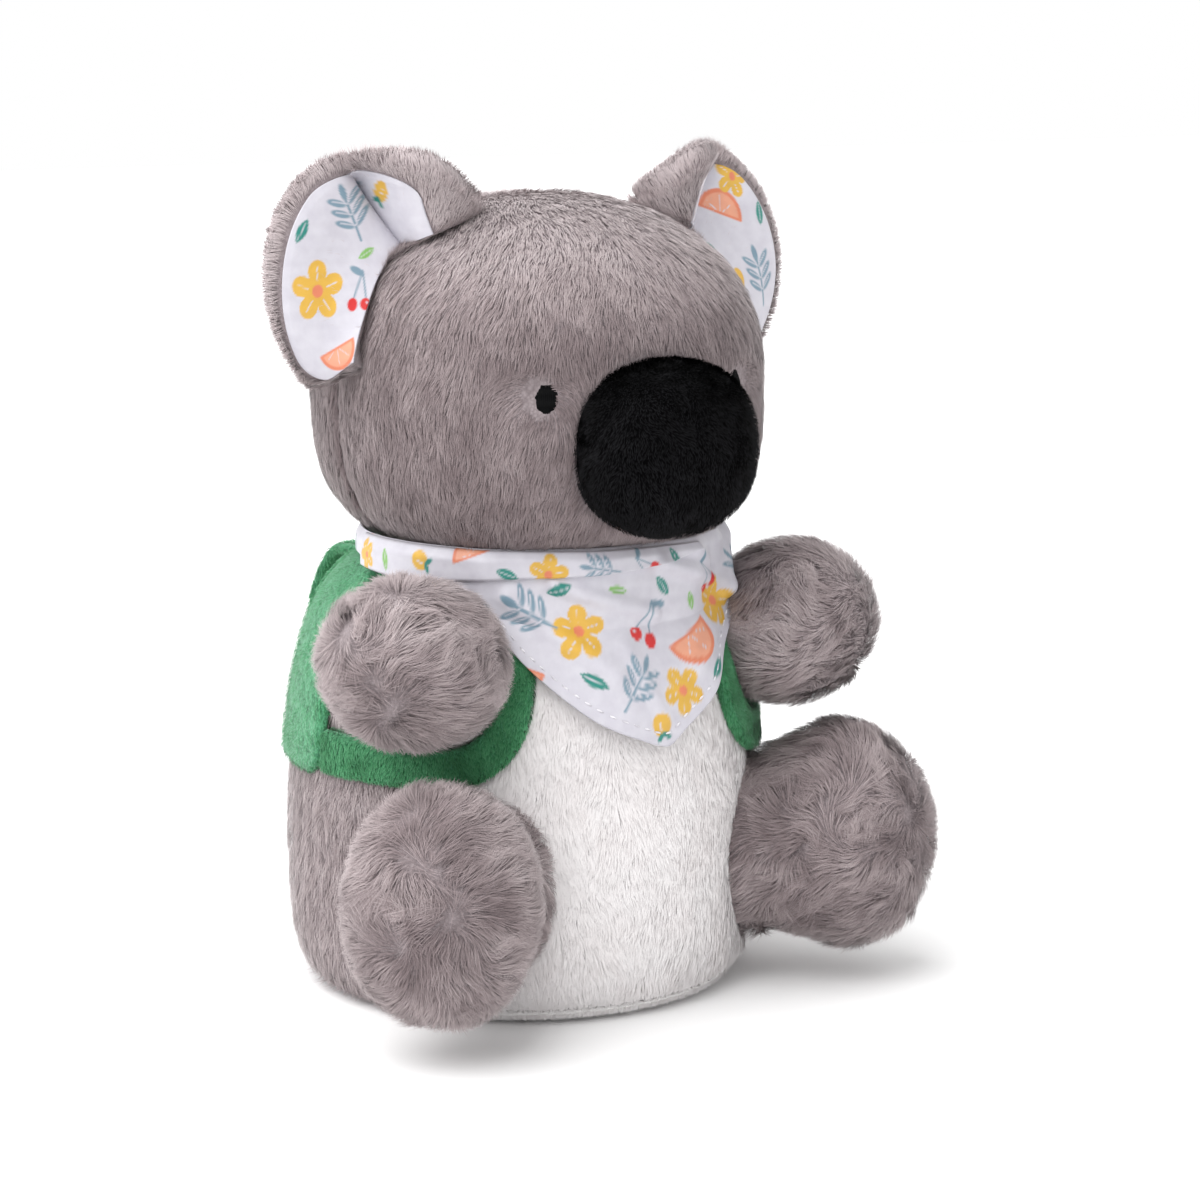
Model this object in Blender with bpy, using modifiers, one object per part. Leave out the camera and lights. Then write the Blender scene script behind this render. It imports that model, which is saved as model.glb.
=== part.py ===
"""Seated plush koala with a bandana and a small backpack: metres, +Z up, facing -Y."""

import math

import bmesh
import bpy
import numpy as np
from mathutils import Matrix, Vector

# Sewing and clearance
GAP = 0.0003
FILLING_GAP = 0.001
PANEL_GAP = 0.0005
LIMB_CLEARANCE = 0.0007
OVERRUN = 0.02
MERGE = 0.00001

# Plush skins: backing and pressed pile
SKIN = 0.003
THREAD = 0.0012

# Body: a turned stuffed shape, flat underneath
TORSO_RADIUS = 0.0622
TORSO_HEIGHT = 0.1165
TORSO_MERIDIAN_SHARES = (
    (0.80, 0.0),
    (0.88, 0.010),
    (0.93, 0.035),
    (0.968, 0.085),
    (0.992, 0.16),
    (1.0, 0.29),
    (0.99, 0.45),
    (0.968, 0.61),
    (0.93, 0.73),
    (0.872, 0.835),
    (0.80, 0.905),
    (0.70, 0.958),
    (0.59, 0.988),
    (0.46, 1.0),
)
SEAT_SEAM = 0.0035
BELLY_HALF_ANGLE = math.radians(58)
TORSO_STEPS = 36
TORSO_ROWS = 14
FILLING_STEPS = 24
FILLING_ROWS = 9

# Weight bag in the seat
PELLET_BAG_RADIUS = 0.0368
PELLET_BAG_HEIGHT = 0.021
BAG_PLAN_SHARE = 0.6
BAG_RISE_SHARE = 0.8
BAG_STEPS = 24

# Head: a superellipsoid, fuller and flatter below
HEAD_HALF_WIDTH = 0.0565
HEAD_HALF_DEPTH = 0.0595
HEAD_HALF_HEIGHT = 0.0468
HEAD_Y = -0.0085
NECK_GAP = 0.0005
HEAD_PLAN_POWER = 2.2
HEAD_CROWN_POWER = 2.2
HEAD_JOWL_POWER = 3.2
HEAD_SEAM_Y = -0.002
HEAD_COLUMNS = 24
HEAD_ROWS = 14

# Nose: a fat oval pressed on the face
NOSE_HALF_WIDTH = 0.0243
NOSE_HALF_HEIGHT = 0.0228
NOSE_HALF_DEPTH = 0.018
NOSE_DROP = 0.0118
NOSE_AHEAD = 0.002
NOSE_SKIN = 0.002

# Eyes: satin stitch ovals
EYE_X = 0.030
EYE_RISE = 0.0020
EYE_WIDTH = 0.0066
EYE_TALL = 0.0092

# Ears: padded cups that stand on the head's side
EAR_X = 0.0495
EAR_RISE = 0.0277
EAR_Y = -0.0078
EAR_HALF_WIDTH = 0.0272
EAR_HALF_HEIGHT = 0.0305
EAR_THICKNESS = 0.0068
EAR_CUP = 0.006
EAR_CURL = 0.013
EAR_CLEARANCE = 0.00125
EAR_BASE_ANGLES = (math.radians(66), math.radians(5))
EAR_EDGE_ANGLES = (math.radians(152), math.radians(-60))
LINING = 0.0008
LINING_GAP = 0.0009
LINING_SPAN_SHARES = (0.10, 0.90)
LINING_RISE_SHARES = (0.14, 0.84)

# Arms
ARM_ANGLE = math.radians(53)
ARM_ROOT_OUT = 0.050
ARM_HEIGHT = 0.093
ARM_PITCH = math.radians(11)
ARM_ROOT_RADIUS = 0.0165
ARM_TIP_RADIUS = 0.0222
ARM_LENGTH = 0.0225
ARM_NECK = 0.0075
ARM_TALL_SHARE = 0.9

# Legs: as the arms, but deeper than wide, the left one sewn on further round
LEG_ANGLES = {"right": math.radians(44), "left": math.radians(53)}
LEG_ROOT_OUT = 0.0575
LEG_HEIGHT = 0.0365
LEG_PITCH = math.radians(6)
LEG_ROOT_RADIUS = 0.0198
LEG_TIP_RADIUS = 0.0228
LEG_LENGTH = 0.0300
LEG_NECK = 0.0085
LEG_TALL_SHARE = 1.26
LIMB_OPENING_SHARE = 0.6
LIMB_STEPS = 16
LIMB_TIP_POINTS = 6
LIMB_ROOT_POINTS = 4

# Backpack: a soft panel that hugs the back, with a pouch and a flap on it
MINKY = 0.003
PANEL_EDGE_ANGLE = math.radians(86)
PANEL_BOTTOM = 0.061
PANEL_DROP = 0.0015
STRAP_WIDTH = 0.0105
STRAP_EASE = 0.0003
STRAP_RISE = 0.0265
STRAP_FALL = 0.0250
STRAP_TAPER_SHARE = 0.76
STRAP_CORNER_SHARE = 0.8
POUCH_WALL = 0.0018
POUCH_WIDTH = 0.044
POUCH_BACK = 0.043
POUCH_DEPTH = 0.033
POUCH_BOTTOM = 0.063
POUCH_HEIGHT = 0.041
POUCH_ROUNDING = 0.004
POUCH_OUTLINE_SHARES = ((0, 0), (0.88, 0), (1, 0.17), (0.9, 0.75), (0.62, 1), (0, 1))
FLAP = 0.0018
FLAP_WIDTH = 0.048
FLAP_HINGE_RISE = 0.0052
FLAP_STAND_OFF = 0.0034
FLAP_OVERLAP_SHARE = 0.5
FLAP_STRAIGHT_SHARE = 0.75
FLAP_NARROWING_SHARE = 0.3
DOT_PLACE_SHARE = 0.55
DOT_RADIUS = 0.006
DOT = 0.0007

# Bandana: a neckerchief folded to a triangle, its band like a collar under the chin
BANDANA = 0.0016
BANDANA_RISE = 0.008
BANDANA_DROP = 0.0515
BANDANA_TURN = math.radians(4)
COLLAR_RADIUS = 0.0475
COLLAR_Y = -0.0085
BANDANA_EDGE_SHARES = (
    (0, 1.0),
    (5, 0.935),
    (16, 0.79),
    (24, 0.61),
    (34, 0.39),
    (41, 0.165),
    (75, 0.165),
    (90, 0.19),
    (120, 0.165),
    (180, 0.15),
)
BANDANA_FOLD = 0.0016
BANDANA_FOLD_SHARES = ((-0.115, 0.016, 0.7), (-0.03, 0.02, 0.5), (0.055, 0.018, 0.8), (0.105, 0.014, 1.0))
BAND_SHARE = 0.8
BAND_ROLL = 0.0011
BANDANA_COLUMNS = 48
BANDANA_ROWS = 7

COLOURS = {
    "grey_plush": (0.27, 0.25, 0.25),
    "white_plush": (0.76, 0.73, 0.72),
    "black_velour": (0.012, 0.012, 0.013),
    "black_thread": (0.008, 0.008, 0.008),
    "printed_satin": (0.76, 0.74, 0.80),
    "green_minky": (0.09, 0.33, 0.16),
    "fibre_filling": (0.85, 0.85, 0.85),
    "pellet_cloth": (0.70, 0.68, 0.62),
    "white_hook_and_loop": (0.72, 0.72, 0.70),
}


def clear_scene():
    for obj in list(bpy.data.objects):
        bpy.data.objects.remove(obj, do_unlink=True)


def collection(name):
    made = bpy.data.collections.new(name)
    bpy.context.scene.collection.children.link(made)
    return made


def material(name):
    made = bpy.data.materials.get(name)
    if made is None:
        made = bpy.data.materials.new(name)
        made.use_nodes = True
        shader = made.node_tree.nodes["Principled BSDF"]
        shader.inputs["Base Color"].default_value = (*COLOURS[name], 1)
        shader.inputs["Roughness"].default_value = 0.35 if "satin" in name else 0.9
        shader.inputs["Metallic"].default_value = 0
    return made


def add_object(name, bm, finish, origin=None):
    """An object with its origin on the given point, smooth apart from its sharp rims."""
    mesh = bpy.data.meshes.new(name)
    if origin is not None:
        bmesh.ops.translate(bm, verts=bm.verts, vec=-origin)
    bm.to_mesh(mesh)
    bm.free()
    mesh.materials.append(material(finish))
    mesh.shade_smooth()
    mesh.set_sharp_from_angle(angle=math.radians(50))
    obj = bpy.data.objects.new(name, mesh)
    parts.objects.link(obj)
    if origin is not None:
        obj.location = origin
    return obj


def add_cutter(name, bm):
    mesh = bpy.data.meshes.new(name)
    bm.to_mesh(mesh)
    bm.free()
    obj = bpy.data.objects.new(name, mesh)
    cutters.objects.link(obj)
    obj.hide_render = True
    obj.display_type = "WIRE"
    return obj


def cut(obj, cutter):
    modifier = obj.modifiers.new("cut by " + cutter.name, "BOOLEAN")
    modifier.operation = "DIFFERENCE"
    modifier.solver = "EXACT"
    modifier.object = cutter


def turn(points, steps, closed=False, start=0.0, sweep=math.tau):
    """A mesh turned about Z from (radius, height) points, or a wedge of it from a closed section."""
    bm = bmesh.new()
    section = [bm.verts.new((radius, 0, height)) for radius, height in points]
    edges = [bm.edges.new(pair) for pair in zip(section, section[1:])]
    whole = sweep == math.tau
    geometry = section + edges
    if closed:
        edges.append(bm.edges.new((section[-1], section[0])))
        geometry = section + edges + [bm.faces.new(section)]
    bmesh.ops.rotate(bm, verts=bm.verts, cent=(0, 0, 0), matrix=Matrix.Rotation(start, 3, "Z"))
    bmesh.ops.spin(
        bm,
        geom=geometry,
        cent=(0, 0, 0),
        axis=(0, 0, 1),
        angle=sweep,
        steps=steps,
        use_merge=whole,
    )
    bmesh.ops.remove_doubles(bm, verts=bm.verts, dist=MERGE)
    bmesh.ops.recalc_face_normals(bm, faces=bm.faces)
    return bm


def curve_through(points, samples=8):
    """Points along a smooth curve through the given ones."""
    ends = [points[0], *points, points[-1]]
    curve = []
    for before, a, b, after in zip(ends, ends[1:], ends[2:], ends[3:]):
        before, a, b, after = (np.array(p, float) for p in (before, a, b, after))
        for i in range(samples):
            t = i / samples
            slope_a = (b - before) / 2
            slope_b = (after - a) / 2
            curve.append(
                (2 * t**3 - 3 * t**2 + 1) * a
                + (t**3 - 2 * t**2 + t) * slope_a
                + (3 * t**2 - 2 * t**3) * b
                + (t**3 - t**2) * slope_b
            )
    curve.append(np.array(points[-1], float))
    return np.array(curve)


class Meridian:
    """The torso's outline from its flat base to its neck, by distance along it."""

    def __init__(self):
        sized = [(r * TORSO_RADIUS, z * TORSO_HEIGHT) for r, z in TORSO_MERIDIAN_SHARES]
        self.points = curve_through(sized)
        steps = np.diff(self.points, axis=0)
        self.along = np.concatenate([[0], np.cumsum(np.hypot(*steps.T))])
        tangent = np.gradient(self.points, self.along, axis=0)
        tangent /= np.hypot(*tangent.T)[:, None]
        self.normals = np.stack([tangent[:, 1], -tangent[:, 0]], axis=1)
        self.length = self.along[-1]

    def at(self, along, proud=0.0):
        """(radius, height) at a distance along the outline, lifted off it by proud."""
        lifted = self.points + self.normals * proud
        return np.interp(along, self.along, lifted[:, 0]), np.interp(along, self.along, lifted[:, 1])

    def along_at(self, height):
        return np.interp(height, self.points[:, 1], self.along)

    def radius(self, height, proud=0.0):
        lifted = self.points + self.normals * proud
        return np.interp(height, lifted[:, 1], lifted[:, 0])

    def rows(self, low, high, count, proud=0.0):
        return [self.at(along, proud) for along in np.linspace(low, high, count)]


def on_body(radius, height, angle):
    """The point at an angle from straight ahead, towards the koala's left."""
    return Vector((radius * math.sin(angle), -radius * math.cos(angle), height))


def sheet(name, finish, columns, rows, place, thickness, loop=False, origin=None):
    """A piece of cloth: a grid laid by place(u, v), thickened on its outer side."""
    bm = bmesh.new()
    bmesh.ops.create_grid(bm, x_segments=columns, y_segments=rows, size=0.5)
    for vertex in bm.verts:
        vertex.co = place(vertex.co.x + 0.5, vertex.co.y + 0.5)
    if loop:
        bmesh.ops.remove_doubles(bm, verts=bm.verts, dist=MERGE)
    obj = add_object(name, bm, finish, origin)
    wall = obj.modifiers.new("cloth", "SOLIDIFY")
    wall.thickness = thickness
    wall.offset = 1
    wall.use_even_offset = True
    return obj


def signed_power(value, power):
    return math.copysign(abs(value) ** power, value)


def head_point(across, up, grow=0.0):
    """The head's surface at a longitude (from +X) and a latitude, grown outwards."""
    power = HEAD_CROWN_POWER if up >= 0 else HEAD_JOWL_POWER
    level = signed_power(math.sin(up), 2 / power)
    reach = abs(math.cos(up)) ** (2 / power)
    return Vector(
        (
            (HEAD_HALF_WIDTH + grow) * reach * signed_power(math.cos(across), 2 / HEAD_PLAN_POWER),
            HEAD_Y
            + (HEAD_HALF_DEPTH + grow) * reach * signed_power(math.sin(across), 2 / HEAD_PLAN_POWER),
            HEAD_CENTRE + (HEAD_HALF_HEIGHT + grow) * level,
        )
    )


def head_mesh(bm, grow):
    """Adds the head's closed outer surface, grown by a distance, and returns its vertices."""
    made = bmesh.ops.create_uvsphere(bm, u_segments=HEAD_COLUMNS, v_segments=HEAD_ROWS, radius=1)
    for vertex in made["verts"]:
        unit = vertex.co
        across = math.atan2(unit.y, unit.x)
        up = math.asin(max(-1.0, min(1.0, unit.z)))
        vertex.co = head_point(across, up, grow)
    return made["verts"]


def head_half(name, side):
    """One half of the head's skin: outer and inner surface cut at the seam and joined there."""
    bm = bmesh.new()
    head_mesh(bm, 0.0)
    inner = head_mesh(bm, -SKIN)
    bmesh.ops.reverse_faces(bm, faces=list({f for v in inner for f in v.link_faces}))
    seam = Vector((0, HEAD_SEAM_Y + side * GAP / 2, 0))
    bmesh.ops.bisect_plane(
        bm,
        geom=bm.verts[:] + bm.edges[:] + bm.faces[:],
        dist=MERGE,
        plane_co=seam,
        plane_no=(0, -side, 0),
        clear_outer=True,
    )
    rim = [edge for edge in bm.edges if edge.is_boundary]
    bmesh.ops.bridge_loops(bm, edges=rim)
    bmesh.ops.recalc_face_normals(bm, faces=bm.faces)
    return add_object(name, bm, "grey_plush", NECK_PIVOT)


def head_solid(grow):
    bm = bmesh.new()
    head_mesh(bm, grow)
    return bm


def ellipsoid(centre, half_sizes, columns=18, rows=10):
    bm = bmesh.new()
    bmesh.ops.create_uvsphere(bm, u_segments=columns, v_segments=rows, radius=1)
    bmesh.ops.scale(bm, vec=half_sizes, verts=bm.verts)
    bmesh.ops.translate(bm, vec=centre, verts=bm.verts)
    return bm


def limb_outline(root_radius, tip_radius, length, neck, inset, closed):
    """(radius, distance) points from a limb's round tip, along its taper, to its round root."""
    waist = (root_radius**2 - tip_radius**2 + length**2) / (2 * length)
    neck = min(neck, waist)
    root_start = math.acos(neck / root_radius)
    root_end = math.pi - math.asin(LIMB_OPENING_SHARE)
    neck_radius = root_radius * math.sin(root_start)
    reach = math.hypot(length - neck, neck_radius)
    tip_end = math.atan2(neck_radius, neck - length) - math.acos(min(1.0, tip_radius / reach))
    tip_angles = np.linspace(0, tip_end, LIMB_TIP_POINTS)
    root_angles = list(np.linspace(root_start, root_end, LIMB_ROOT_POINTS))
    if closed:
        root_angles += [(root_end + math.pi) / 2, math.pi]
    tip_radius -= inset
    root_radius -= inset
    outline = [(tip_radius * math.sin(a), length + tip_radius * math.cos(a)) for a in tip_angles]
    outline += [(root_radius * math.sin(a), root_radius * math.cos(a)) for a in root_angles]
    return [(max(radius, 0.0), distance) for radius, distance in outline]


class Limb:
    """An arm or a leg: where its root lies, which way it points, and how big it is."""

    def __init__(self, side, angle, out, height, pitch, sizes, tall):
        self.origin = on_body(out, height, side * angle)
        self.sizes = sizes
        flat = on_body(1, 0, side * angle)
        forward = flat * math.cos(pitch) + Vector((0, 0, math.sin(pitch)))
        across = Vector((0, 0, 1)).cross(forward).normalized()
        up = forward.cross(across)
        self.frame = Matrix((up * tall, across, forward)).transposed()

    def placed(self, bm):
        bmesh.ops.transform(bm, matrix=self.frame.to_4x4(), verts=bm.verts)
        bmesh.ops.translate(bm, vec=self.origin, verts=bm.verts)
        bmesh.ops.recalc_face_normals(bm, faces=bm.faces)
        return bm

    def skin(self, name):
        wire = limb_outline(*self.sizes, 0.0, False) + limb_outline(*self.sizes, SKIN, False)[::-1]
        return add_object(name, self.placed(turn(wire, LIMB_STEPS)), "grey_plush", self.origin)

    def filling(self, name):
        wire = limb_outline(*self.sizes, SKIN + GAP, True)
        return add_object(name, self.placed(turn(wire, LIMB_STEPS)), "fibre_filling", self.origin)

    def dish(self, name):
        """The hollow that the root turns in."""
        bm = bmesh.new()
        radius = self.sizes[0] + LIMB_CLEARANCE
        bmesh.ops.create_uvsphere(bm, u_segments=16, v_segments=10, radius=radius)
        return add_cutter(name, self.placed(bm))


def torso_section(low, high, rows):
    """A closed section of the skin: out along its face and back along its inner side."""
    outer = meridian.rows(low, high, rows)
    inner = meridian.rows(low, high, rows, -SKIN)
    return outer + inner[::-1]


def build_torso(dishes):
    seam = meridian.along_at(SEAT_SEAM)
    seat_outer = [(0.0, 0.0), *meridian.rows(0, seam, 4)]
    rim_radius, rim_height = meridian.at(seam, -SKIN)
    seat_inner = [(rim_radius, rim_height), (meridian.at(0)[0] - SKIN, SKIN), (0.0, SKIN)]
    add_object("seat_panel", turn(seat_outer + seat_inner, TORSO_STEPS), "grey_plush")

    skin = torso_section(seam + GAP, meridian.length, TORSO_ROWS)
    half_gap = GAP / TORSO_RADIUS
    front = -math.pi / 2
    belly_steps = round(TORSO_STEPS * BELLY_HALF_ANGLE / math.pi)
    belly = turn(
        skin,
        belly_steps,
        closed=True,
        start=front - BELLY_HALF_ANGLE + half_gap,
        sweep=2 * (BELLY_HALF_ANGLE - half_gap),
    )
    back = turn(
        skin,
        TORSO_STEPS - belly_steps,
        closed=True,
        start=front + BELLY_HALF_ANGLE + half_gap,
        sweep=math.tau - 2 * (BELLY_HALF_ANGLE + half_gap),
    )
    belly_panel = add_object("belly_panel", belly, "white_plush")
    torso_back = add_object("torso_back", back, "grey_plush")

    floor = SKIN + FILLING_GAP
    lifted = meridian.rows(seam, meridian.length, FILLING_ROWS, -floor)
    side = [(radius, height) for radius, height in lifted if height > floor]
    plug = meridian.at(meridian.length)[0] - FILLING_GAP
    filling_outline = [(0.0, floor), (meridian.at(0)[0] - floor, floor), *side]
    filling_outline += [(plug, side[-1][1]), (plug - SKIN, TORSO_HEIGHT), (0.0, TORSO_HEIGHT)]
    filling = add_object("torso_filling", turn(filling_outline, FILLING_STEPS), "fibre_filling")

    bag_half = PELLET_BAG_HEIGHT / 2
    bag_centre = floor + GAP + bag_half
    quarter = np.linspace(math.pi / 2, -math.pi / 2, 9)
    bag = [
        (
            PELLET_BAG_RADIUS * abs(math.cos(a)) ** BAG_PLAN_SHARE,
            bag_centre + bag_half * signed_power(math.sin(a), BAG_RISE_SHARE),
        )
        for a in quarter
    ]
    bag[0] = (0.0, bag[0][1])
    bag[-1] = (0.0, bag[-1][1])
    add_object("pellet_bag", turn(bag, BAG_STEPS), "pellet_cloth")
    recess = [(radius + (GAP if radius else 0), height + GAP) for radius, height in bag[:5]]
    recess += [(recess[-1][0], -OVERRUN), (0.0, -OVERRUN)]
    cut(filling, add_cutter("pellet_recess", turn(recess, BAG_STEPS)))
    for dish in dishes:
        cut(belly_panel, dish)
        cut(torso_back, dish)
        cut(filling, dish)


def build_head():
    head_half("head_front", -1)
    head_half("head_back", 1)
    add_object("head_filling", head_solid(-SKIN - GAP), "fibre_filling", NECK_PIVOT)


def build_face():
    clearance = add_cutter("face_clearance", head_solid(GAP))
    centre = (0, HEAD_Y - HEAD_HALF_DEPTH - NOSE_AHEAD, HEAD_CENTRE - NOSE_DROP)
    outer = (NOSE_HALF_WIDTH, NOSE_HALF_DEPTH, NOSE_HALF_HEIGHT)
    inner = [size - NOSE_SKIN for size in outer]
    core = [size - NOSE_SKIN - GAP for size in outer]
    cover = add_object("nose_cover", ellipsoid(centre, outer), "black_velour")
    cut(cover, add_cutter("nose_hollow", ellipsoid(centre, inner)))
    cut(cover, clearance)
    filling = add_object("nose_filling", ellipsoid(centre, core), "fibre_filling")
    cut(filling, clearance)
    for side, name in ((-1, "right_eye"), (1, "left_eye")):
        power = HEAD_CROWN_POWER if EYE_RISE >= 0 else HEAD_JOWL_POWER
        up = math.asin(signed_power(EYE_RISE / HEAD_HALF_HEIGHT, power / 2))
        reach = math.cos(up) ** (2 / power)
        across = math.acos((EYE_X / HEAD_HALF_WIDTH / reach) ** (HEAD_PLAN_POWER / 2))
        spot = head_point(-across, up)
        ahead = head_point(-across, up, THREAD) - spot
        bm = ellipsoid((0, 0, 0), (EYE_WIDTH / 2, THREAD + GAP, EYE_TALL / 2), 12, 8)
        turned = math.atan2(ahead.x, -ahead.y)
        bmesh.ops.rotate(bm, verts=bm.verts, matrix=Matrix.Rotation(turned, 3, "Z"))
        bmesh.ops.translate(bm, vec=(side * spot.x, spot.y, spot.z), verts=bm.verts)
        if side < 0:
            middle = Matrix.Translation((spot.x, 0, 0))
            bmesh.ops.scale(bm, vec=(-1, 1, 1), verts=bm.verts, space=middle)
            bmesh.ops.recalc_face_normals(bm, faces=bm.faces)
        cut(add_object(name, bm, "black_thread"), clearance)


def ear_middle(side, t, s):
    """The ear's middle surface: t runs round the rim from the crown side, s from the head outwards."""
    base_angle = EAR_BASE_ANGLES[0] + (EAR_BASE_ANGLES[1] - EAR_BASE_ANGLES[0]) * t
    edge_angle = EAR_EDGE_ANGLES[0] + (EAR_EDGE_ANGLES[1] - EAR_EDGE_ANGLES[0]) * t
    base = head_point(0, base_angle, EAR_CLEARANCE)
    edge = Vector(
        (
            EAR_X + EAR_HALF_WIDTH * math.cos(edge_angle),
            EAR_Y,
            EAR_HEIGHT + EAR_HALF_HEIGHT * math.sin(edge_angle),
        )
    )
    point = base.lerp(edge, s)
    across = (point.x - EAR_X) / EAR_HALF_WIDTH
    up = (point.z - EAR_HEIGHT) / EAR_HALF_HEIGHT
    hollow = EAR_CUP * max(0.0, 1 - across**2 - up**2)
    curl = EAR_CURL * max(0.0, -across) ** 2 * s
    return Vector((side * point.x, EAR_Y + hollow - curl, point.z))


def ear_face(side, t, s, ahead):
    """A point ahead of the ear's middle surface, square to it."""
    step = 0.01
    along = ear_middle(side, t + step, s) - ear_middle(side, t - step, s)
    out = ear_middle(side, t, s + step) - ear_middle(side, t, s - step)
    normal = along.cross(out).normalized()
    if normal.y > 0:
        normal.negate()
    return ear_middle(side, t, s) + normal * ahead


def share_between(limits, share):
    return limits[0] + (limits[1] - limits[0]) * share


def build_ear(side, prefix):
    pivot = (ear_middle(side, 0, 0) + ear_middle(side, 1, 0)) / 2
    back = sheet(
        prefix + "_ear_back",
        "grey_plush",
        8,
        5,
        lambda u, v: ear_face(side, u, v, EAR_THICKNESS / 2),
        EAR_THICKNESS,
        origin=pivot,
    )
    back.modifiers["cloth"].offset = -1 if side > 0 else 1
    round_off = back.modifiers.new("round", "SUBSURF")
    round_off.levels = 1
    round_off.render_levels = 1
    lining = sheet(
        prefix + "_ear_lining",
        "printed_satin",
        10,
        6,
        lambda u, v: ear_face(
            side,
            share_between(LINING_SPAN_SHARES, u),
            share_between(LINING_RISE_SHARES, v),
            EAR_THICKNESS / 2 + LINING_GAP,
        ),
        LINING,
        origin=pivot,
    )
    lining.modifiers["cloth"].offset = 1 if side > 0 else -1


def strap_route(u):
    """The strap's middle line on the unrolled body, as (across, rise) from the arm's root."""
    front = ARM_ROOT_RADIUS + LIMB_CLEARANCE + STRAP_EASE + STRAP_WIDTH / 2
    back = (PANEL_EDGE_ANGLE - ARM_ANGLE) * TORSO_RADIUS - GAP
    straight = back / (2 * back + math.pi * (front + STRAP_RISE) / 2)
    if u < straight:
        return back * (1 - u / straight), STRAP_RISE
    if u > 1 - straight:
        return back * (1 - (1 - u) / straight), -STRAP_FALL
    angle = math.pi / 2 + math.pi * (u - straight) / (1 - 2 * straight)
    rise = signed_power(math.sin(angle), STRAP_CORNER_SHARE)
    reach = abs(math.cos(angle)) ** STRAP_CORNER_SHARE
    return -front * reach, rise * (STRAP_RISE if rise > 0 else STRAP_FALL)


def strap_point(side, u, v):
    step = 0.01
    across, rise = strap_route(u)
    before = strap_route(max(0.0, u - step))
    after = strap_route(min(1.0, u + step))
    heading = Vector((after[0] - before[0], after[1] - before[1])).normalized()
    narrow = STRAP_TAPER_SHARE + (1 - STRAP_TAPER_SHARE) * u
    offset = (v - 0.5) * STRAP_WIDTH * narrow
    across += heading.y * offset
    rise -= heading.x * offset
    along = min(meridian.along_at(ARM_HEIGHT) + rise, meridian.length)
    radius, height = meridian.at(along, GAP)
    angle = ARM_ANGLE + across / TORSO_RADIUS
    return on_body(radius, height, side * angle)


def build_backpack():
    low, high = meridian.along_at(PANEL_BOTTOM), meridian.along_at(TORSO_HEIGHT - PANEL_DROP)

    def panel(u, v):
        angle = PANEL_EDGE_ANGLE + 2 * (math.pi - PANEL_EDGE_ANGLE) * u
        radius, height = meridian.at(share_between((low, high), v), PANEL_GAP)
        return on_body(radius, height, angle)

    sheet("backpack_panel", "green_minky", 22, 9, panel, MINKY)
    for side, name in ((-1, "right_strap"), (1, "left_strap")):
        strap = sheet(name, "green_minky", 26, 3, lambda u, v: strap_point(side, u, v), MINKY)
        strap.modifiers["cloth"].offset = -side


def pouch_outline(inset=0.0):
    return [
        (POUCH_BACK + y * POUCH_DEPTH - (inset if y else 0), POUCH_BOTTOM + z * POUCH_HEIGHT)
        for y, z in POUCH_OUTLINE_SHARES
    ]


def prism(outline, half_width):
    """A solid with a (y, z) outline, as wide as given."""
    bm = bmesh.new()
    face = bm.faces.new([bm.verts.new((-half_width, y, z)) for y, z in outline])
    grown = bmesh.ops.extrude_face_region(bm, geom=[face])
    moved = [item for item in grown["geom"] if isinstance(item, bmesh.types.BMVert)]
    bmesh.ops.translate(bm, vec=(2 * half_width, 0, 0), verts=moved)
    bmesh.ops.recalc_face_normals(bm, faces=bm.faces)
    return bm


def build_pouch():
    outer = prism(pouch_outline(), POUCH_WIDTH / 2)
    pouch = add_object("backpack_pouch", outer, "green_minky")
    rounding = pouch.modifiers.new("soft edges", "BEVEL")
    rounding.width = POUCH_ROUNDING
    rounding.segments = 2
    rounding.limit_method = "ANGLE"
    clearance = PANEL_GAP + MINKY + GAP
    body = [(0.0, -OVERRUN), (meridian.at(0)[0], -OVERRUN)]
    body += meridian.rows(0, meridian.length, 24, clearance)
    body += [(0.0, meridian.at(meridian.length, clearance)[1])]
    cut(pouch, add_cutter("body_and_panel", turn(body, 2 * TORSO_STEPS)))
    outline = pouch_outline(POUCH_WALL)
    floor, mouth = outline[1], outline[-2]
    hollow = [
        (POUCH_BACK - OVERRUN, floor[1] + POUCH_WALL),
        (floor[0], floor[1] + POUCH_WALL),
        *outline[2:-1],
        (mouth[0], mouth[1] + OVERRUN),
        (POUCH_BACK - OVERRUN, mouth[1] + OVERRUN),
    ]
    cut(pouch, add_cutter("pouch_hollow", prism(hollow, POUCH_WIDTH / 2 - POUCH_WALL)))


def flap_outline():
    """(y, z) points of the flap's inner face, from its hinge over the mouth and down the front."""
    front = pouch_outline()[2:5]
    low, high, mouth = (Vector(point) for point in front)
    down = (low - high).normalized()
    outward = Vector((-down.y, down.x))
    end = high.lerp(low, FLAP_OVERLAP_SHARE)
    hinge = Vector((FLAP_HINGE_Y, FLAP_HINGE_HEIGHT))
    over = mouth + Vector((FLAP_STAND_OFF / 2, FLAP_STAND_OFF))
    return [hinge, over, high + outward * FLAP_STAND_OFF, end + outward * (2 * DOT + 3 * GAP)]


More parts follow.
